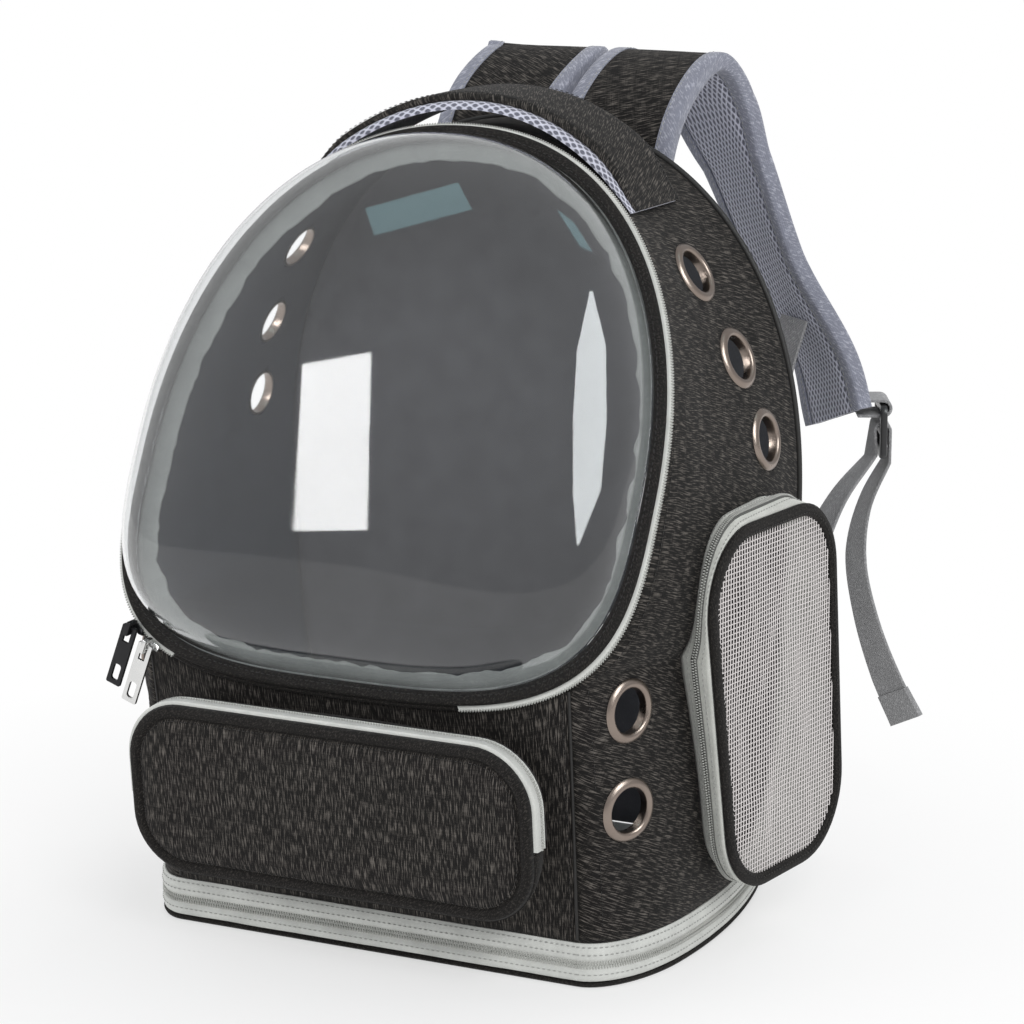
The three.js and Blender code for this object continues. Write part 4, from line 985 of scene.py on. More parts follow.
def behind_face(spot, behind):
    return Vector((spot.x, pocket_face_y(spot.y) + behind, spot.y))


def pocket_ring(reach, behind, share=1.0):
    return [behind_face(pocket_middle.lerp(spot, share), behind) for spot in moved_out(pocket_outline, reach)]


def flat_uvs(piece):
    """UVs in metres from across and up."""
    layer = piece.data.uv_layers[0].data
    for loop in piece.data.loops:
        place = piece.data.vertices[loop.vertex_index].co
        layer[loop.index].uv = (place.x, place.z)
    return piece


face_steps = (
    (-0.5, 3.0), (-1.5, 0.4), (-3.2, -0.6), (-5.6, -0.4), (-6.6, 1.0), (-7.6, 1.0), (-9.0, -0.4),
    (-12.0, -1.4),
)
face_rings = [pocket_ring(reach, behind) for reach, behind in face_steps]
for share in (0.82, 0.7, 0.55, 0.38, 0.2):
    ring = []
    for point in pocket_ring(-12.0, -1.4, share / 0.88):
        dent = noise.noise(point * 0.02) * 1.2 + noise.noise(point * 0.06) * 0.3
        ring.append(point - Vector((0, 0.6 + 0.9 * (1 - share) + dent * smooth(1 - share, 0, 0.5), 0)))
    face_rings.append(ring)
pocket_face = skin("front_pocket_panel", face_rings, closed_across=True, smooth_angle=60)
face_work = bmesh.new()
face_work.from_mesh(pocket_face.data)
face_work.verts.ensure_lookup_table()
for ring_start in (0, (len(face_rings) - 1) * len(pocket_outline)):
    cap = face_work.faces.new([face_work.verts[ring_start + k] for k in range(len(pocket_outline))])
    cap.smooth = True
bmesh.ops.recalc_face_normals(face_work, faces=face_work.faces)
face_work.to_mesh(pocket_face.data)
face_work.free()
settle(flat_uvs(pocket_face), "black_cloth", "front_pocket_face", finishes=[front_cloth, trim_cloth])
for polygon in pocket_face.data.polygons:
    polygon.material_index = 1 if polygon.index < 5 * len(pocket_outline) else 0
    polygon.material_index = 1 if polygon.index < 5 * len(pocket_outline) else 0


def root_point(spot):
    return Vector((spot.x, panel_depth(spot.x, spot.y) - 0.3, spot.y))


gusset_rows = []
for share in (0.0, 0.25, 0.5, 0.75, 1.0):
    ring = []
    for number, spot in enumerate(pocket_outline):
        zipped = spot.y > POCKET_ZIP_END
        behind = 3.3 + (POCKET_ZIP_WIDTH + 0.3 if zipped else 0)
        edge = behind_face(spot, behind)
        root = root_point(pocket_root[number])
        place = root.lerp(edge, share)
        bow = math.sin(math.pi * share) * 2.2 + noise.noise(place * 0.05) * 0.8 * math.sin(math.pi * share)
        out = Vector((spot.x - pocket_middle.x, 0, spot.y - pocket_middle.y)).normalized()
        ring.append(place + out * bow)
    gusset_rows.append(ring)
pocket_gusset = tube_skin("front_pocket_side", gusset_rows, 180, caps=False)
bake(thicken(pocket_gusset, 1.6))
settle(pocket_gusset, "black_cloth", "front_pocket_gusset", finishes=[trim_cloth])

zip_steps = [i for i, spot in enumerate(pocket_outline) if spot.y > POCKET_ZIP_END]
tape_profile = (
    (0.2, 3.3), (1.3, 3.9), (1.5, 8.0), (0.9, 8.6), (0.9, 11.6), (1.4, 12.3), (-1.0, 12.3), (-1.0, 3.3),
)
tape_rings = [pocket_ring(reach, behind) for reach, behind in tape_profile]
tape_rows = [[ring[i] for ring in tape_rings] for i in zip_steps]
pocket_tape = tube_skin("front_pocket_zip_tape", tape_rows, 50)
settle(pocket_tape, "grey_tape", "front_pocket_zipper", finishes=[pale_tape])
coil_line = []
coil_outline = moved_out(pocket_outline, 1.1)
for i in zip_steps:
    spot, base = coil_outline[i], pocket_outline[i]
    out = Vector((spot.x - base.x, 0, spot.y - base.y)).normalized()
    coil_line.append((behind_face(spot, 10.1), out))
zip_teeth("front_pocket_coil", coil_line, width=1.7, gap=0.75)
rim_line = [(point, FORWARD) for point in pocket_ring(-8.6, -0.25)]
stitches("front_pocket_stitches", rim_line, closed=True, pitch=2.6)

# Door zip and hinge
# The door opens on a zip that runs over its top; the short stretch at the lower left is a cloth hinge.
ZIP_END_RIGHT = math.radians(-60)
ZIP_END_LEFT = math.radians(226)
ZIP_PROFILE = ((4.2, 0.4), (-0.2, 0.35), (-1.2, 0.9), (-1.5, 1.8), (-1.2, 2.7), (-0.2, 3.25), (4.2, 3.25))


def door_rows(profile, start, end, steps):
    """A profile of (inset, out) carried round the door between two angles."""
    angles = [mix(start, end, i / steps) for i in range(steps + 1)]
    return [[door_point(angle, inset, out) for inset, out in profile] for angle in angles]


def door_line(inset, out, start, end, steps=200, facing=(0.0, 1.0)):
    """A line round the door with its outward directions, given as shares of outwards and of forwards."""
    line = []
    for i in range(steps):
        angle = mix(start, end, i / (steps - 1))
        point = door_point(angle, inset, out)
        radial = (door_point(angle, inset - 1, out) - point).normalized()
        line.append((point, (radial * facing[0] + DOOR_OUT * facing[1]).normalized()))
    return line


def door_strip(name, rows, slot, node, finish):
    """A closed strip round the door whose ends are capped."""
    settle(tube_skin(name, rows), slot, node, finishes=[finish])


tape_round = door_rows(ZIP_PROFILE, ZIP_END_RIGHT, ZIP_END_LEFT, 200)
door_strip("door_zip_tape", tape_round, "grey_tape", "door_zipper", pale_tape)
coil_round = door_line(-1.5, 1.8, ZIP_END_RIGHT, ZIP_END_LEFT, facing=(1.0, 0.0))
zip_teeth("door_zip_coil", coil_round, width=1.5, gap=0.6)
hinge_gap = math.radians(0.25)
hinge_round = door_rows(ZIP_PROFILE, ZIP_END_LEFT + hinge_gap, ZIP_END_RIGHT + FULL_TURN - hinge_gap, 48)
door_strip("door_hinge_cloth", hinge_round, "black_cloth", "door_hinge_strip", trim_cloth)

# Door flange
# The black cloth rim that the bubble is sewn into, with its row of stitches.
FLANGE_PROFILE = (
    (0.7, 3.7), (0.3, 4.9), (0.9, 6.0), (2.2, 6.45), (5.8, 6.3), (7.2, 5.6), (7.5, 4.4), (7.2, 3.7),
)
RIM_STEPS = 240
rim_rows = door_rows(FLANGE_PROFILE, 0, FULL_TURN * (RIM_STEPS - 1) / RIM_STEPS, RIM_STEPS - 1)
door_rim = ring_skin("door_rim", rim_rows)
settle(door_rim, "black_cloth", "door_flange", finishes=[trim_cloth])
stitches("door_rim_stitches", door_line(4.6, 6.35, 0, FULL_TURN), pitch=3.2)

# Inner binding
# A soft grey tape covers the seam inside the door; it puckers along its free edge.
inner_tape = cloth_material("inner_tape", (0.21, 0.22, 0.21), (0.30, 0.31, 0.295), 0.6, 0.0006, 4.0,
                            relief=0.2)
INNER_TAPE_INSET = 5
INNER_TAPE_WIDTH = 12.5
binding_rows = []
for i in range(RIM_STEPS):
    angle = FULL_TURN * i / RIM_STEPS
    around = Vector((math.cos(angle), math.sin(angle), 0))
    pucker = noise.noise(around * 11) * 2.2 + noise.noise(around * 26) * 1.0
    heave = noise.noise(around * 18 + Vector((4, 0, 0))) * 0.9
    row = []
    for depth in (0.0, 0.2, 0.45, 0.7, 0.9, 1.0):
        inset = INNER_TAPE_INSET + INNER_TAPE_WIDTH * depth + pucker * depth * depth
        row.append(door_point(angle, inset, -0.6 - 0.9 * depth + heave * depth))
    binding_rows.append(row)
door_binding = skin("door_inner_tape", binding_rows, closed_path=True, smooth_angle=180)
bake(thicken(door_binding, 0.9, offset=0))
settle(outwards(door_binding), "grey_tape", "door_inner_binding", finishes=[inner_tape])

# Dome
# One clear sheet blown into a bubble, of even thickness, with a soft turn where it meets its rim.
DOME_INSET = 7.8
DOME_RISE = 70
DOME_CENTRE = 124
DOME_FULLNESS = 2.6
DOME_WALL = 1.3
DOME_FOOT = 3.6


def dome_place(angle, share):
    x, up = door_outline(angle, DOME_INSET)
    height = DOME_RISE * max(1 - share ** 2, 0) ** (1 / DOME_FULLNESS)
    return door_place(x * share, DOME_CENTRE + (up - DOME_CENTRE) * share, DOME_FOOT + height)


DOME_STEPS = 144
dome_rows = []
for i in range(41):
    share = math.cos(math.pi / 2 * min(i / 40, 0.99) ** 1.15)
    dome_rows.append([dome_place(FULL_TURN * j / DOME_STEPS, share) for j in range(DOME_STEPS)])
dome = tube_skin("dome_shell", dome_rows, 180, caps=False)
dome_work = bmesh.new()
dome_work.from_mesh(dome.data)
last_ring = list(dome_work.verts)[-DOME_STEPS:]
crown = dome_work.verts.new(dome_place(0, 0) * MM)
for j, rim_vertex in enumerate(last_ring):
    face = dome_work.faces.new([rim_vertex, last_ring[(j + 1) % DOME_STEPS], crown])
    face.smooth = True
bmesh.ops.recalc_face_normals(dome_work, faces=dome_work.faces)
if sum(face.normal.dot(DOOR_OUT) for face in dome_work.faces) < 0:
    bmesh.ops.reverse_faces(dome_work, faces=dome_work.faces)
dome_work.to_mesh(dome.data)
dome_work.free()
bake(thicken(dome, DOME_WALL))
clear_sheet, clear_tree, clear_shader = new_material("clear_sheet", {
    "Base Color": (0.97, 0.98, 0.985), "Roughness": 0.03, "IOR": 1.5, "Transmission Weight": 1.0,
})
passing = add_node(clear_tree, "ShaderNodeBsdfTransparent", {"Color": (0.93, 0.94, 0.95)})
mixed_surface(clear_tree, either_ray(clear_tree, "Is Shadow Ray", "Is Diffuse Ray"), clear_shader, passing)
settle(dome, "clear_plastic", "dome", finishes=[clear_sheet])

# Reflections in the dome
# White soft boxes and faint blue windows show in the bubble. Each hangs where the camera sees its
# mirror image between a left and a right edge in the picture, and lights nothing but reflections.
WHITE_WINDOW = (((302, 364), (293, 531)), ((371, 352), (367, 530)))
WHITE_CRESCENT = (((590, 291), (577, 350), (573, 420), (573, 490), (577, 545)),
                  ((593, 291), (606, 345), (607, 420), (601, 490), (579, 545)))
BLUE_WINDOW = (((365, 208), (374, 235)), ((458, 182), (472, 209)))
BLUE_STRIP = (((557, 209), (580, 246)), ((574, 222), (593, 252)))
MIRROR_DISTANCE = 1.3


def along_edge(edge, share):
    at = min(share * (len(edge) - 1), len(edge) - 1 - 1e-6)
    return Vector(edge[int(at)]).lerp(Vector(edge[int(at) + 1]), at - int(at))


def mirrored_place(pixel):
    look = Vector((pixel.x - PHOTO_WIDTH / 2, PHOTO_WIDTH / 2 - pixel.y, -FOCAL_PIXELS))
    ray = (camera.rotation_euler.to_matrix() @ look).normalized()
    _, spot, _, index = dome.ray_cast(camera.location, ray)
    corners = [dome.data.vertices[k] for k in dome.data.polygons[index].vertices]
    weights = poly_3d_calc([corner.co for corner in corners], spot)
    normal = sum((corner.normal * weight for corner, weight in zip(corners, weights)), Vector()).normalized()
    return (spot + (ray - normal * (2 * ray.dot(normal))) * MIRROR_DISTANCE) / MM


def mirror_box(name, edges, strength, color):
    shares = [i / 12 for i in range(13)]
    rows = []
    for v in shares:
        start, end = [along_edge(edge, v) for edge in edges]
        rows.append([mirrored_place(start.lerp(end, u)) for u in shares])
    box = skin(name, rows, smooth_angle=180)
    material, tree, _ = new_material(name, {})
    glow = add_node(tree, "ShaderNodeEmission", {"Color": color, "Strength": strength})
    fill(tree, tree.nodes["Material Output"], {"Surface": glow.outputs[0]})
    box.data.materials.append(material)
    box.visible_camera = False
    box.visible_diffuse = False
    box.visible_shadow = False


bpy.context.view_layer.update()
mirror_box("white_window", WHITE_WINDOW, 11, (1, 1, 1))
mirror_box("white_crescent", WHITE_CRESCENT, 8, (0.95, 0.99, 1))
mirror_box("blue_window", BLUE_WINDOW, 2.4, (0.6, 0.85, 0.9))
mirror_box("blue_strip", BLUE_STRIP, 2.4, (0.6, 0.85, 0.9))

# Tubes along paths
# Net threads and piping are round strands that a node tree sweeps along edges.


def strand_tree():
    tree, given, leave = node_group("strands", "GeometryNodeTree", {
        "Geometry": "Geometry", "Radius": "Float", "Sides": "Int", "Finish": "Material",
    }, {"Geometry": "Geometry"})
    lines = add_node(tree, "GeometryNodeMeshToCurve", {"Mesh": given["Geometry"]})
    section = {"Resolution": given["Sides"], "Radius": given["Radius"]}
    ring = add_node(tree, "GeometryNodeCurvePrimitiveCircle", section)
    sweep = add_node(tree, "GeometryNodeCurveToMesh", {
        "Curve": lines.outputs["Curve"], "Profile Curve": ring.outputs["Curve"], "Fill Caps": True,
    })
    return finished_tree(tree, sweep.outputs["Mesh"], given["Finish"], leave)


STRANDS = strand_tree()


def strands(name, lines, finish, slot, radius, sides=4):
    points, edges = [], []
    for line in lines:
        first = len(points)
        points += in_metres(line)
        edges += [(first + i, first + i + 1) for i in range(len(line) - 1)]
    mesh = bpy.data.meshes.new(name)
    mesh.from_pydata(points, edges, [])
    piece = grown_piece(mesh, STRANDS, Radius=radius * MM, Sides=sides, Finish=finish)
    return settle(outwards(piece), slot)


# Seams
# Stitches run beside the door and front seams, a narrow fold covers each upright seam, and piping
# closes the edge where the wall meets the back panel.
seam_points = [i / 60 for i in range(61)]
for seam_side, seam_sign in SIDES.items():
    panel_line = [(flipped(panel_point(0.972, 0.02 + 0.96 * h), seam_sign), FORWARD) for h in seam_points]
    stitches(f"panel_stitches_{seam_side}", panel_line)
    wall_line = []
    for i in range(241):
        t, s = 0.01 + 0.98 * (i / 240), 0.028
        wall_line.append((flipped(wall_point(t, s), seam_sign), flipped(wall_out(t, s), seam_sign)))
    stitches(f"door_seam_stitches_{seam_side}", wall_line)
    fold_line = [flipped(panel_point(0.998, 0.01 + 0.97 * h), seam_sign) for h in seam_points]
    strands(f"front_seam_fold_{seam_side}", [fold_line], thread_black, "black_cloth", 0.9, sides=8)
back_edge = [wall_back(0.004 + 0.996 * i / 160) for i in range(161)]
back_edge += [flipped(point, -1) for point in reversed(back_edge[:-1])]
back_edge = [point + Vector((math.copysign(0.4, point.x), 0.4, 0.3)) for point in back_edge]
strands("back_piping", [back_edge], thread_black, "black_cloth", 1.7, sides=10)

# Side pockets
# A zipped pocket on each side with a net face. The right one stands open like a wedge, and the left
# one lies folded flat.
SIDE_FACE = ((-28, 34), (90, 34), (72, 228), (-62, 228))
SIDE_ROOT = ((-14, 38), (82, 38), (70, 230), (-56, 230))
SIDE_RADIUS = 40
SIDE_BINDING = 6
SIDE_SPREAD = {"right": (14, 32), "left": (9, 9)}
ROOT_GAP = 0.8
net_white = plain_material("net_thread", (0.74, 0.70, 0.69), 0.75, sheen=0.3)
# zip_shadow colours a dark grey strip under each side zip's coil: painted shadow in the gap beside the coil.
zip_shadow = plain_material("zip_painted_shadow", (0.11, 0.112, 0.105), 0.9)
side_tape = cloth_material("side_tape", (0.56, 0.57, 0.53), (0.69, 0.70, 0.66), 0.8, 0.0007, 3.0, 35,
                           relief=0.25, sheen=0.15)
SIDE_RIM = (
    (-0.6, 3.1), (0.5, 2.4), (0.7, 1.0), (-0.5, -0.2), (-2.6, -0.6), (-4.8, -0.2), (-6.0, 0.7), (-6.1, 2.3),
    (-5.0, 3.1),
)
GUSSET_SHARES = (0, 0.12, 0.25, 0.4, 0.5, 0.6, 0.75, 0.88, 1)
SHADOW_STRIP_HALF = 2.1
NET_PITCH = 2.6


def side_pocket(side):
    sign = SIDES[side]
    face = rounded_outline(SIDE_FACE, SIDE_RADIUS, 12, 12)
    root = rounded_outline(SIDE_ROOT if side == "right" else SIDE_FACE, SIDE_RADIUS, 12, 12)
    wall_x = [wall_at(spot.x, spot.y)[0].x + ROOT_GAP for spot in root]
    centre = sum(face, Vector((0, 0))) / len(face)
    count = len(face)

    def face_x(depth):
        share = (depth - SIDE_FACE[3][0]) / (SIDE_FACE[1][0] - SIDE_FACE[3][0])
        return WAIST_WIDTH / 2 + mix(*SIDE_SPREAD[side], share)

    def on_face(spot, behind):
        return Vector((sign * (face_x(spot.x) - behind), spot.x, spot.y))

    def gusset_place(i, share, lift=0.0):
        spot = root[i].lerp(face[i], share)
        away = (spot - centre).normalized()
        bow = (1.6 if side == "right" else 0.6) * math.sin(math.pi * share) + lift
        x = mix(wall_x[i], face_x(face[i].x) - 3.3, share)
        return Vector((sign * x, spot.x + away.x * bow, spot.y + away.y * bow))

    def chain_line(lift, shift=0.0):
        """A line along the middle of the gusset, or shifted from it."""
        line = []
        for i in range(count):
            width = abs(face_x(face[i].x) - 3.3 - wall_x[i])
            share = min(max(0.5 + shift / max(width, 1), 0.05), 0.95)
            away = (root[i].lerp(face[i], share) - centre).normalized()
            line.append((gusset_place(i, share, lift), Vector((0, away.x, away.y))))
        return line

    def band_piece(name, rows, thickness, node, finish):
        """A closed thin band round the pocket: the gusset cloth, and the dark strip of painted shadow under
        the zip.
        """
        closed_band = bake(thicken(skin(name, rows, closed_path=True, smooth_angle=180), thickness, offset=0))
        settle(outwards(closed_band), "grey_tape", node, finishes=[finish])

    gusset_cloth = [[gusset_place(i, share) for share in GUSSET_SHARES] for i in range(count)]
    band_piece(f"side_gusset_{side}", gusset_cloth, 1.2, f"side_pocket_gusset_{side}", side_tape)
    # Under the coil lies a dark strip of painted shadow, where the zip's gap is in shade.
    shadow_strip_edges = zip(chain_line(0.9, -SHADOW_STRIP_HALF), chain_line(0.9, SHADOW_STRIP_HALF))
    shadow_strip_rows = [[low[0], high[0]] for low, high in shadow_strip_edges]
    band_piece(f"side_zip_shadow_strip_{side}", shadow_strip_rows, 0.4, f"side_pocket_zipper_{side}", zip_shadow)
    zip_teeth(f"side_zip_coil_{side}", chain_line(1.6), closed=True, width=1.7, gap=0.75)
    for row_name, shift in (("root", -5.0), ("face", 5.0)):
        if side == "right":
            row_line = chain_line(0.75, shift)
            stitches(f"side_zip_stitch_{row_name}_{side}", row_line, thread_grey, "grey_tape", closed=True)

    rings = [[on_face(spot, behind) for spot in moved_out(face, reach)] for reach, behind in SIDE_RIM]
    rim_rows = [[ring[i] for ring in rings] for i in range(count)]
    rim = ring_skin(f"side_rim_{side}", rim_rows, 70)
    settle(rim, "black_cloth", f"side_pocket_binding_{side}", finishes=[trim_cloth])
    rim_line = [(on_face(spot, -0.5), Vector((sign, 0, 0))) for spot in moved_out(face, -4.2)]
    stitches(f"side_rim_stitch_{side}", rim_line, closed=True, pitch=2.8)

    edge = moved_out(face, -SIDE_BINDING + 0.8)

    def slack(spot):
        """How far the net bows in, at most in the middle of its panes."""
        calm = smooth(min((spot - corner).length for corner in edge), 0, 26)
        waves = noise.noise(Vector((spot.x * 0.035, spot.y * 0.02, 2.0))) * 3.0
        return (waves + noise.noise(Vector((spot.x * 0.11, spot.y * 0.05, 5.0))) * 0.8) * calm

    def crossings(level, axis):
        """Where a straight line across the outline starts and ends."""
        found = []
        for i in range(count):
            a, b = edge[i], edge[(i + 1) % count]
            if (a[axis] - level) * (b[axis] - level) < 0:
                found.append(a.lerp(b, (level - a[axis]) / (b[axis] - a[axis])))
        return found

    threads = []
    for axis in (0, 1):
        low, high = min(spot[axis] for spot in edge), max(spot[axis] for spot in edge)
        for k in range(1, int((high - low) / NET_PITCH)):
            ends = crossings(low + NET_PITCH * k, axis)
            if len(ends) < 2:
                continue
            steps = max(int((ends[1] - ends[0]).length / 5), 2)
            line = [ends[0].lerp(ends[1], j / steps) for j in range(steps + 1)]
            threads.append([on_face(spot, 1.6 + 0.35 * axis - slack(spot) * 0.5) for spot in line])
    net = strands(f"side_net_{side}", threads, net_white, "net", 0.34)
    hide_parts(f"side_pocket_net_{side}")


for pocket_side in SIDES:
    side_pocket(pocket_side)

# Straps
# A strap is a run of stations with a middle, a width direction and an outward one.


class Station:
    def __init__(self, middle, side, normal, low, high, thin=1.0):
        self.middle, self.side, self.normal = middle, side, normal
        self.low, self.high, self.thin = low, high, thin

    def at(self, across, out):
        return self.middle + self.side * across + self.normal * (out * self.thin)


def curve_through(points):
    """A centripetal curve through points, as a function of the share of its run."""
    points = [points[0] * 2 - points[1]] + list(points) + [points[-1] * 2 - points[-2]]
    spans = len(points) - 3

    def place(share):
        at = min(share * spans, spans - 1e-9)
        i = int(at)
        weight = at - i
        p0, p1, p2, p3 = points[i:i + 4]
        d0, d1, d2 = [max((b - a).length ** 0.5, 1e-4) for a, b in ((p0, p1), (p1, p2), (p2, p3))]
        t1 = ((p1 - p0) / d0 - (p2 - p0) / (d0 + d1) + (p2 - p1) / d1) * d1
        t2 = ((p2 - p1) / d1 - (p3 - p1) / (d1 + d2) + (p3 - p2) / d2) * d1
        c2 = (p2 - p1) * 3 - t1 * 2 - t2
        c3 = (p1 - p2) * 2 + t1 + t2
        return p1 + t1 * weight + c2 * weight ** 2 + c3 * weight ** 3

    return place


def stations_through(rows, sign, steps, half_width, outwards_by_sign=True):
    """Stations along rows of (x, depth, height, turn in degrees)."""
    place = curve_through([Vector((sign * x, y, z)) for x, y, z, _ in rows])
    stations = []
    for i in range(steps + 1):
        share = i / steps
        at = share * (len(rows) - 1)
        first = min(int(at), len(rows) - 2)
        turn = math.radians(mix(rows[first][3], rows[first + 1][3], at - first))
        tangent = (place(min(share + 1e-3, 1)) - place(max(share - 1e-3, 0))).normalized()
        wide = Vector((sign * math.cos(turn), math.sin(turn), 0))
        side = (wide - tangent * wide.dot(tangent)).normalized()
        normal = side.cross(tangent).normalized() * (sign if outwards_by_sign else 1)
        half = half_width(share)
        stations.append(Station(place(share), side, normal, -half, half))
    return stations


def strap_skin(name, stations, profile, smooth_angle=60, ripple=0.0):
    """A closed skin whose section is given as (share across, out)."""
    rows = []
    for number, station in enumerate(stations):
        row = []
        for share, out in profile:
            across = mix(station.low, station.high, share)
            lift = ripple * noise.noise(station.at(across, out) * 0.03) if ripple else 0
            row.append(station.at(across, out + lift))
        rows.append(row)
    return tube_skin(name, rows, smooth_angle)


lavender_weave = cloth_material("lavender_binding", (0.22, 0.23, 0.28), (0.44, 0.45, 0.52), 0.9, 0.0009, 4.0,
                                45, relief=0.4, sheen=0.2)
lavender_mesh = mesh_material("lavender_air_mesh", (0.60, 0.61, 0.71), (0.13, 0.135, 0.175), 0.0036, 0.9)

# Carry handle
# An arched band of the body cloth over an air-mesh grip, sewn down at both ends.
HANDLE_WIDTH = 56
HANDLE_RISE = 9
HANDLE_PAD = 4.5
HANDLE_SET_BACK = 5
HANDLE_END_ANGLE = math.radians(56)
HANDLE_SHARE = 0.36
HANDLE_END_THIN = 0.14


def handle_stations(shift, steps=54):
    stations = []
    for i in range(steps + 1):
        run = i / steps
        angle = mix(HANDLE_END_ANGLE, math.pi - HANDLE_END_ANGLE, run)
        folded = min(angle, math.pi - angle)
        sign = -1 if angle > math.pi / 2 else 1
        t = mix(SEAM_SHARE, 1, (folded - DOOR_SEAM_ANGLE) / (math.pi / 2 - DOOR_SEAM_ANGLE))
        middle = flipped(wall_point(t, HANDLE_SHARE), sign)
        normal = flipped(wall_out(t, HANDLE_SHARE), sign)
        normal.y = 0
        normal.normalize()
        reach = (HANDLE_WIDTH / 2 + HANDLE_SET_BACK) / (BACK - wall_point(t, 0).y)
        crest = 0
        for k in range(-4, 5):
            place = flipped(wall_point(t, min(max(HANDLE_SHARE + reach * k / 4, 0), 1)), sign) - middle
            place.y = 0
            crest = max(crest, place.dot(normal))
        middle = middle + normal * (crest + HANDLE_RISE * math.sin(math.pi * run) ** 2)
        thin = mix(HANDLE_END_THIN, 1, smooth(math.sin(math.pi * run), 0, 0.55))
        middle.y = mix(wall_point(t, 0).y, BACK, HANDLE_SHARE) + shift
        stations.append(Station(middle, Vector((0, 1, 0)), normal, -HANDLE_WIDTH / 2, HANDLE_WIDTH / 2, thin))
    return stations


grip_profile = [(i / 16, 0.5) for i in range(17)]
grip_profile += [(1.0, 2.4), (0.98, 4.0)] + [(1 - i / 16, 4.7) for i in range(1, 16)]
grip_profile += [(0.02, 4.0), (0.0, 2.4)]
handle_grip = strap_skin("handle_grip", handle_stations(0), grip_profile)
settle(handle_grip, "air_mesh", "handle_underside", finishes=[lavender_mesh])
band_low = 0.3 + HANDLE_PAD + 0.3
band_profile = [(i / 12, band_low) for i in range(13)] + [(1.004, band_low + 1.6), (0.985, band_low + 3.0)]
band_profile += [(1 - i / 12, band_low + 3.6 + 0.5 * math.sin(math.pi * i / 12)) for i in range(1, 12)]
band_profile += [(0.015, band_low + 3.0), (-0.004, band_low + 1.6)]
handle_line = handle_stations(HANDLE_SET_BACK)
handle_band = strap_skin("handle_cover", handle_line, band_profile)
settle(handle_band, "black_cloth", "handle_band", finishes=[side_cloth])
for edge_name, edge_across in (("front", -HANDLE_WIDTH / 2 + 3), ("back", HANDLE_WIDTH / 2 - 3)):
    edge_line = [(station.at(edge_across, band_low + 3.75), station.normal) for station in handle_line]
    stitches(f"handle_stitches_{edge_name}", edge_line, pitch=3.2)

# Shoulder straps
# Each has a cloth cover outside, a quilted air-mesh pad inside and a woven binding round both edges.
BACK_PLANE = 99.3
STRAP_WIDTH = 68
STRAP_END_WIDTH = 58
STRAP_ROUTES = {
    "right": ((40, 6, 350, 0), (40, 6, 385, 0), (43, 24, 420, 0), (48, 68, 440, -5), (58, 97, 415, -20),
              (72, 103, 382, -32), (96, 107, 324, -38), (126, 105, 274, -36), (137, 101, 242, -34)),
    "left": ((37, 6, 350, 0), (34, 6, 385, 0), (31, 24, 420, 0), (28, 68, 440, -5), (50, 97, 415, -20),
             (70, 103, 382, -32), (96, 107, 324, -38), (126, 105, 274, -36), (137, 101, 242, -34)),
}
PAD_EDGE = 0.045
COVER_PROFILE = [(PAD_EDGE, 1.9), (0.955, 1.9), (0.955, 3.8)]
COVER_PROFILE += [(1 - i / 14, 4.2 + 0.25 * math.sin(math.pi * i / 14)) for i in range(1, 14)]
COVER_PROFILE += [(PAD_EDGE, 3.8)]


def pad_section(count=26):
    """Flat where it meets the cover, and pulled in towards both bindings on the wearer's side."""
    section = [(mix(PAD_EDGE, 0.955, i / count), 1.6) for i in range(count + 1)]
    for i in range(count + 1):
        share = mix(0.955, PAD_EDGE, i / count)
        edge = min(share, 1 - share) - PAD_EDGE
        section.append((share, -1.8 - 3.4 * smooth(edge, 0, 0.16)))
    return section


BINDING_SHARE = 0.13
BINDING_SPANS = (
    (0, 2.4), (0.03, 4.1), (0.15, 4.8), (0.5, 5.0), (1, 4.9), (1, -4.9), (0.5, -5.0), (0.15, -4.8),
    (0.03, -4.1), (0, -2.4),
)
BINDING_FACE = 4.95


def binding_section(edge):
    """Folded over one edge of the strap: round at the edge and flat on both faces."""
    inner = mix(edge, 0.5, 2 * BINDING_SHARE)
    return [(mix(edge, inner, share), out) for share, out in BINDING_SPANS]


def strap_half_width(share):
    return mix(STRAP_WIDTH, STRAP_END_WIDTH, smooth(share, 0.45, 0.75)) / 2


def shoulder_strap(side):
    rows = [(x, BACK_PLANE + behind, z, turn) for x, behind, z, turn in STRAP_ROUTES[side]]
    stations = stations_through(rows, SIDES[side], 110, strap_half_width)
    cover = strap_skin(f"strap_cloth_{side}", stations, COVER_PROFILE, 50)
    settle(cover, "black_cloth", f"strap_cover_{side}", finishes=[side_cloth])
    pad = strap_skin(f"strap_mesh_{side}", stations, pad_section(), 70, ripple=1.2)
    settle(pad, "air_mesh", f"strap_pad_{side}", finishes=[lavender_mesh])
    for edge, edge_share in (("outer", 1), ("inner", 0)):
        binding = strap_skin(f"strap_binding_{edge}_{side}", stations, binding_section(edge_share), 70)
        settle(binding, "lavender_web", f"strap_edge_{edge}_{side}", finishes=[lavender_weave])
        across = mix(-1, 1, mix(edge_share, 0.5, 1.7 * BINDING_SHARE))
        for face_name, facing in (("cover", 1), ("pad", -1)):
            line = [(s.at(s.high * across, BINDING_FACE * facing), s.normal * facing) for s in stations]
            stitches(f"strap_stitch_{edge}_{face_name}_{side}", line, thread_grey, "lavender_web", lift=0.0)


for strap_side in SIDES:
    shoulder_strap(strap_side)

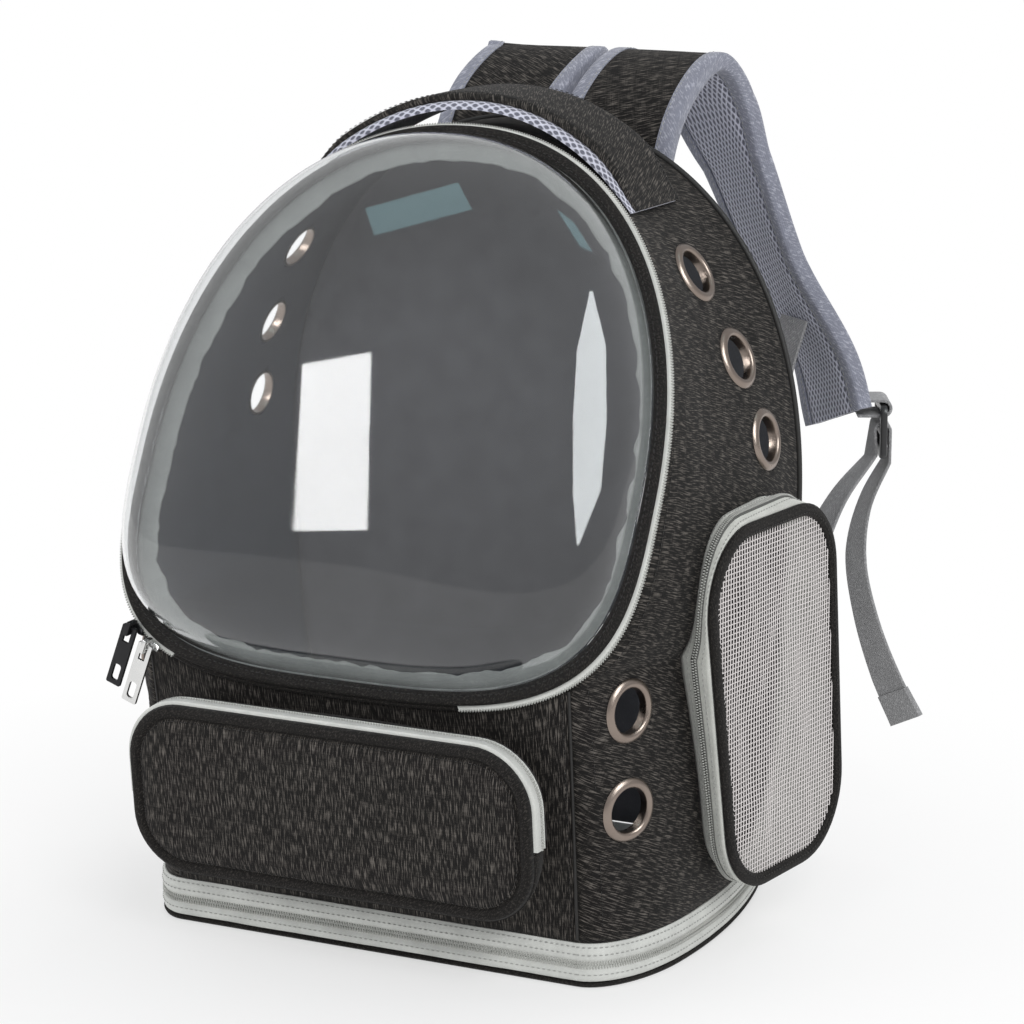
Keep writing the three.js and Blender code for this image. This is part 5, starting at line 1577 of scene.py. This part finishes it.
# Webbing and ladder locks
# A grey web is sewn into the bag's lower corner, turns round the lock's middle bar and hangs loose.
WEB_WIDTH = 25
WEB_THICKNESS = 1.6
LOCK_WIDTH = 36
LOCK_HEIGHT = 30
LOCK_THICKNESS = 4
LOCK_BAR = 4.5
LOCK_MIDDLE = Vector((160, BACK_PLANE + 107, 237))
LOCK_TURN = math.radians(-64)
BAR_REACH = LOCK_HEIGHT / 2 - LOCK_BAR / 2
WRAP_RADIUS = LOCK_BAR / 2 + 1.2 + WEB_THICKNESS / 2
TAIL_ROUTE = (
    (180, BACK_PLANE + 106, 70, -20), (167, BACK_PLANE + 106, 94, -26), (154, BACK_PLANE + 106, 128, -36),
    (147, BACK_PLANE + 107, 162, -44), (151, BACK_PLANE + 109, 192, -56),
    (164.6, BACK_PLANE + 109.3, 221, -64),
)
STRAND_ROUTE = (
    (155.4, BACK_PLANE + 104.7, 221, -64), (141, BACK_PLANE + 88, 196, -50), (128, BACK_PLANE + 48, 136, -24),
    (120, BACK_PLANE + 16, 86, -6), (116, BACK_PLANE + 3.5, 62, 0),
)
web_grey = cloth_material("grey_webbing", (0.27, 0.27, 0.275), (0.46, 0.46, 0.465), 0.8, 0.0011, 1.6,
                          relief=0.7, sheen=0.2)
black_plastic = plain_material("black_plastic", (0.010, 0.010, 0.011), 0.35, coat=0.15)


def half_web(_):
    return WEB_WIDTH / 2


def web_section(thickness):
    half = thickness / 2
    return ([(0.0, -half * 0.4), (0.012, -half)] + [(i / 10, -half) for i in range(1, 10)]
            + [(0.988, -half), (1.0, -half * 0.4), (1.0, half * 0.4), (0.988, half)]
            + [(1 - i / 10, half) for i in range(1, 10)] + [(0.012, half), (0.0, half * 0.4)])


def aligned(stations, reference):
    for station in stations:
        if station.side.dot(reference.side) < 0:
            station.side.negate()
        if station.normal.dot(reference.normal) < 0:
            station.normal.negate()
    return stations


def rounded_plate(name, outline, holes, thickness, matrix, bevel=0.6):
    """A flat plate with holes, given in its own plane and placed by a matrix."""
    work = bmesh.new()
    loops = []
    for ring in [outline] + holes:
        verts = [work.verts.new((spot[0] * MM, spot[1] * MM, -thickness / 2 * MM)) for spot in ring]
        loops += [work.edges.new((verts[i], verts[(i + 1) % len(verts)])) for i in range(len(verts))]
    filled = bmesh.ops.triangle_fill(work, use_beauty=True, edges=loops)
    faces = [item for item in filled["geom"] if isinstance(item, bmesh.types.BMFace)]
    raised = bmesh.ops.extrude_face_region(work, geom=faces)["geom"]
    raised_verts = [item for item in raised if isinstance(item, bmesh.types.BMVert)]
    bmesh.ops.translate(work, vec=(0, 0, thickness * MM), verts=raised_verts)
    bmesh.ops.recalc_face_normals(work, faces=work.faces)
    mesh = bpy.data.meshes.new(name)
    work.to_mesh(mesh)
    work.free()
    piece = linked(name, mesh)
    soften = piece.modifiers.new("edges", "BEVEL")
    soften.width = bevel * MM
    soften.segments = 2
    soften.limit_method = "ANGLE"
    soften.angle_limit = math.radians(50)
    bake(piece)
    piece.data.transform(matrix)
    smoothed(piece).data.set_sharp_from_angle(angle=math.radians(35))
    return piece


def frame_matrix(across, up, out, middle):
    matrix = Matrix((across, up, out)).transposed().to_4x4()
    matrix.translation = middle * MM
    return matrix


def box_ring(width, height, centre=0.0):
    half, low, high = width / 2, centre - height / 2, centre + height / 2
    return [(-half, low), (half, low), (half, high), (-half, high)]


def web_station(middle, side, normal):
    return Station(middle, side, normal, -WEB_WIDTH / 2, WEB_WIDTH / 2)


def wrap_stations(bar, wide, out, start, sweep):
    """The half turn of a web round one of the lock's bars."""
    stations = []
    for i in range(17):
        angle = start + sweep * i / 16
        normal = out * math.cos(angle) + UPRIGHT * math.sin(angle)
        stations.append(web_station(bar + normal * WRAP_RADIUS, wide, normal))
    return stations


def strap_hardware(side):
    sign = SIDES[side]
    wide = Vector((sign * math.cos(LOCK_TURN), math.sin(LOCK_TURN), 0))
    out = Vector((-sign * math.sin(LOCK_TURN), math.cos(LOCK_TURN), 0))
    middle = flipped(LOCK_MIDDLE, sign)
    half_w, half_h = LOCK_WIDTH / 2, LOCK_HEIGHT / 2
    lock_corners = [(half_w, -half_h), (half_w, half_h), (-half_w, half_h), (-half_w, -half_h)]
    outline = rounded_outline(lock_corners, LOCK_BAR, 6, 2)
    slots = [box_ring(WEB_WIDTH + 3, BAR_REACH - LOCK_BAR, half * BAR_REACH / 2) for half in (-1, 1)]
    lock_frame = frame_matrix(wide, UPRIGHT, out, middle)
    lock = rounded_plate(f"lock_frame_{side}", outline, slots, LOCK_THICKNESS, lock_frame, 1.0)
    settle(lock, "black_plastic", f"ladder_lock_{side}", finishes=[black_plastic])

    turn = wrap_stations(middle, wide, out, 0, math.pi)
    tail = aligned(stations_through(TAIL_ROUTE, sign, 60, half_web, False), turn[0])
    strand = aligned(stations_through(STRAND_ROUTE, sign, 60, half_web, False), turn[-1])
    web = strap_skin(f"web_{side}", tail + turn + strand, web_section(WEB_THICKNESS), 50)
    settle(web, "grey_web", f"strap_web_{side}", finishes=[web_grey])
    hem = [Station(s.middle, s.side, s.normal, s.low - 0.2, s.high + 0.2) for s in tail[:9]]
    fold = strap_skin(f"web_hem_{side}", hem, web_section(WEB_THICKNESS + 1.6), 50)
    settle(fold, "grey_web", finishes=[web_grey])

    bar = middle + UPRIGHT * BAR_REACH
    loop = [web_station(bar - out * 14 + UPRIGHT * WRAP_RADIUS, wide, UPRIGHT)]
    loop += wrap_stations(bar, wide, out, math.pi / 2, -math.pi)
    loop.append(web_station(bar - out * 14 - UPRIGHT * WRAP_RADIUS, wide, -UPRIGHT))
    keeper = strap_skin(f"lock_keeper_{side}", loop, web_section(WEB_THICKNESS), 50)
    settle(keeper, "grey_web", f"lock_loop_{side}", finishes=[web_grey])

    foot_x, _, foot_z, _ = STRAND_ROUTE[-1]
    low, top = WALL_FOOT + 3, foot_z - 0.3 - WEB_THICKNESS
    tab = [(foot_x - 22, low), (foot_x + 16, low), (foot_x + 12.5, top), (foot_x - 12.5, top)]
    tab = [(sign * x, z) for x, z in tab]
    flat = frame_matrix(Vector((1, 0, 0)), UPRIGHT, FORWARD, Vector((0, BACK_PLANE + 0.3 + CLOTH, 0)))
    corner = rounded_plate(f"corner_tab_{side}", tab, [], 2 * CLOTH, flat, 1.2)
    corner.data.uv_layers.new(name="UVMap")
    settle(flat_uvs(corner), "black_cloth", f"lower_anchor_{side}", finishes=[trim_cloth])


for hardware_side in SIDES:
    strap_hardware(hardware_side)

# Chest strap halves
# A short web sewn inside each shoulder strap carries one half of the chest buckle.
CHEST_ROUTE = (
    (110, BACK_PLANE + 100.8, 296, -34), (104, BACK_PLANE + 93, 268, -30), (101, BACK_PLANE + 90, 240, -26),
)
BUCKLE_HEIGHT = 24
BUCKLE_CORNERS = [(15, 0.3), (13, BUCKLE_HEIGHT), (-13, BUCKLE_HEIGHT), (-15, 0.3)]
for chest_side, chest_sign in SIDES.items():
    chest = stations_through(CHEST_ROUTE, chest_sign, 24, half_web, False)
    chest_web = strap_skin(f"chest_strap_{chest_side}", chest, web_section(WEB_THICKNESS), 50)
    settle(chest_web, "grey_web", f"chest_web_{chest_side}", finishes=[web_grey])
    chest_end = chest[-1]
    buckle_down = chest_end.normal.cross(chest_end.side).normalized()
    if buckle_down.z > 0:
        buckle_down.negate()
    buckle_frame = frame_matrix(chest_end.side, buckle_down, chest_end.normal, chest_end.middle)
    buckle = rounded_plate(f"buckle_half_{chest_side}", rounded_outline(BUCKLE_CORNERS, 3, 6, 2),
                           [box_ring(12, 5, 16)], 6, buckle_frame, 1.4)
    settle(buckle, "black_plastic", f"chest_buckle_{chest_side}", finishes=[black_plastic])

# Door sliders and pull tabs
# Two sliders meet at the zip's left end. Their pull tabs hang from small bridges, and swing.
PULL_LEAN = math.radians(20)
PULL_AXIS = Vector((math.cos(PULL_LEAN), 0, -math.sin(PULL_LEAN)))
PULL_DOWN = Vector((-math.sin(PULL_LEAN), 0, -math.cos(PULL_LEAN)))
PULL_OUT = PULL_AXIS.cross(PULL_DOWN)
PULL_WIDTH = 8.5
PULL_LENGTH = 33
CROSSBAR = 1.8
SLIDER_INSET = -2.6
BRIDGE_SIZE = 7.6
BRIDGE_HOLE = 3.8
BRIDGE_WIDTH = 2.6
bright_metal = worn_metal("bright_metal", (0.78, 0.78, 0.77), (0.55, 0.55, 0.54), 0.5, 0.26)
# The second tab is dark metal, darkened further with painted shadow because it hangs behind the bright tab.
black_metal = worn_metal("black_metal", (0.016, 0.016, 0.018), (0.03, 0.03, 0.03), 0.5, 0.32, 0.6)
for pull_name, pull_angle, pull_finish in (("bright", 221.6, bright_metal), ("black", 216.6, black_metal)):
    turn = math.radians(pull_angle)
    inset = SLIDER_INSET
    pivot = door_point(turn, inset - 1.8, 3.9 + BRIDGE_SIZE / 2 - 0.5)
    ahead = (door_point(turn + 0.02, inset) - door_point(turn - 0.02, inset)).normalized()
    radial = ahead.cross(DOOR_OUT).normalized()
    body_ring = rounded_outline([(4.5, -1.5), (4.5, 1.5), (-4.5, 1.5), (-4.5, -1.5)], 1.2, 4, 2)
    body_frame = frame_matrix(ahead, radial, DOOR_OUT, door_point(turn, inset, 2.2))
    block = rounded_plate(f"slider_body_{pull_name}", body_ring, [], 3.4, body_frame, 0.5)
    settle(block, f"{pull_name}_metal", f"door_slider_{pull_name}", finishes=[pull_finish])
    bridge_frame = frame_matrix(PULL_DOWN, PULL_AXIS.cross(PULL_DOWN), PULL_AXIS, pivot)
    bridge = rounded_plate(f"slider_bridge_{pull_name}", box_ring(BRIDGE_SIZE, BRIDGE_SIZE),
                           [box_ring(BRIDGE_HOLE, BRIDGE_HOLE)], BRIDGE_WIDTH, bridge_frame, 0.5)
    settle(bridge, f"{pull_name}_metal", finishes=[pull_finish])
    half, low = PULL_WIDTH / 2, -CROSSBAR / 2
    tab_corners = [(half, low), (half, PULL_LENGTH), (-half, PULL_LENGTH), (-half, low)]
    window = box_ring(BRIDGE_WIDTH + 1.2, BRIDGE_SIZE, (CROSSBAR + BRIDGE_SIZE) / 2)
    hole = rounded_outline(box_ring(4.2, 9, PULL_LENGTH - 2.5 - 4.5), 1.6, 4, 2)
    tab = rounded_plate(f"pull_{pull_name}_tab", rounded_outline(tab_corners, 0.8, 4, 2),
                        [window, hole], CROSSBAR, frame_matrix(PULL_AXIS, PULL_DOWN, PULL_OUT, pivot), 0.35)
    settle(tab, f"{pull_name}_metal", f"pull_tab_{pull_name}", body=f"pull_{pull_name}",
           finishes=[pull_finish])
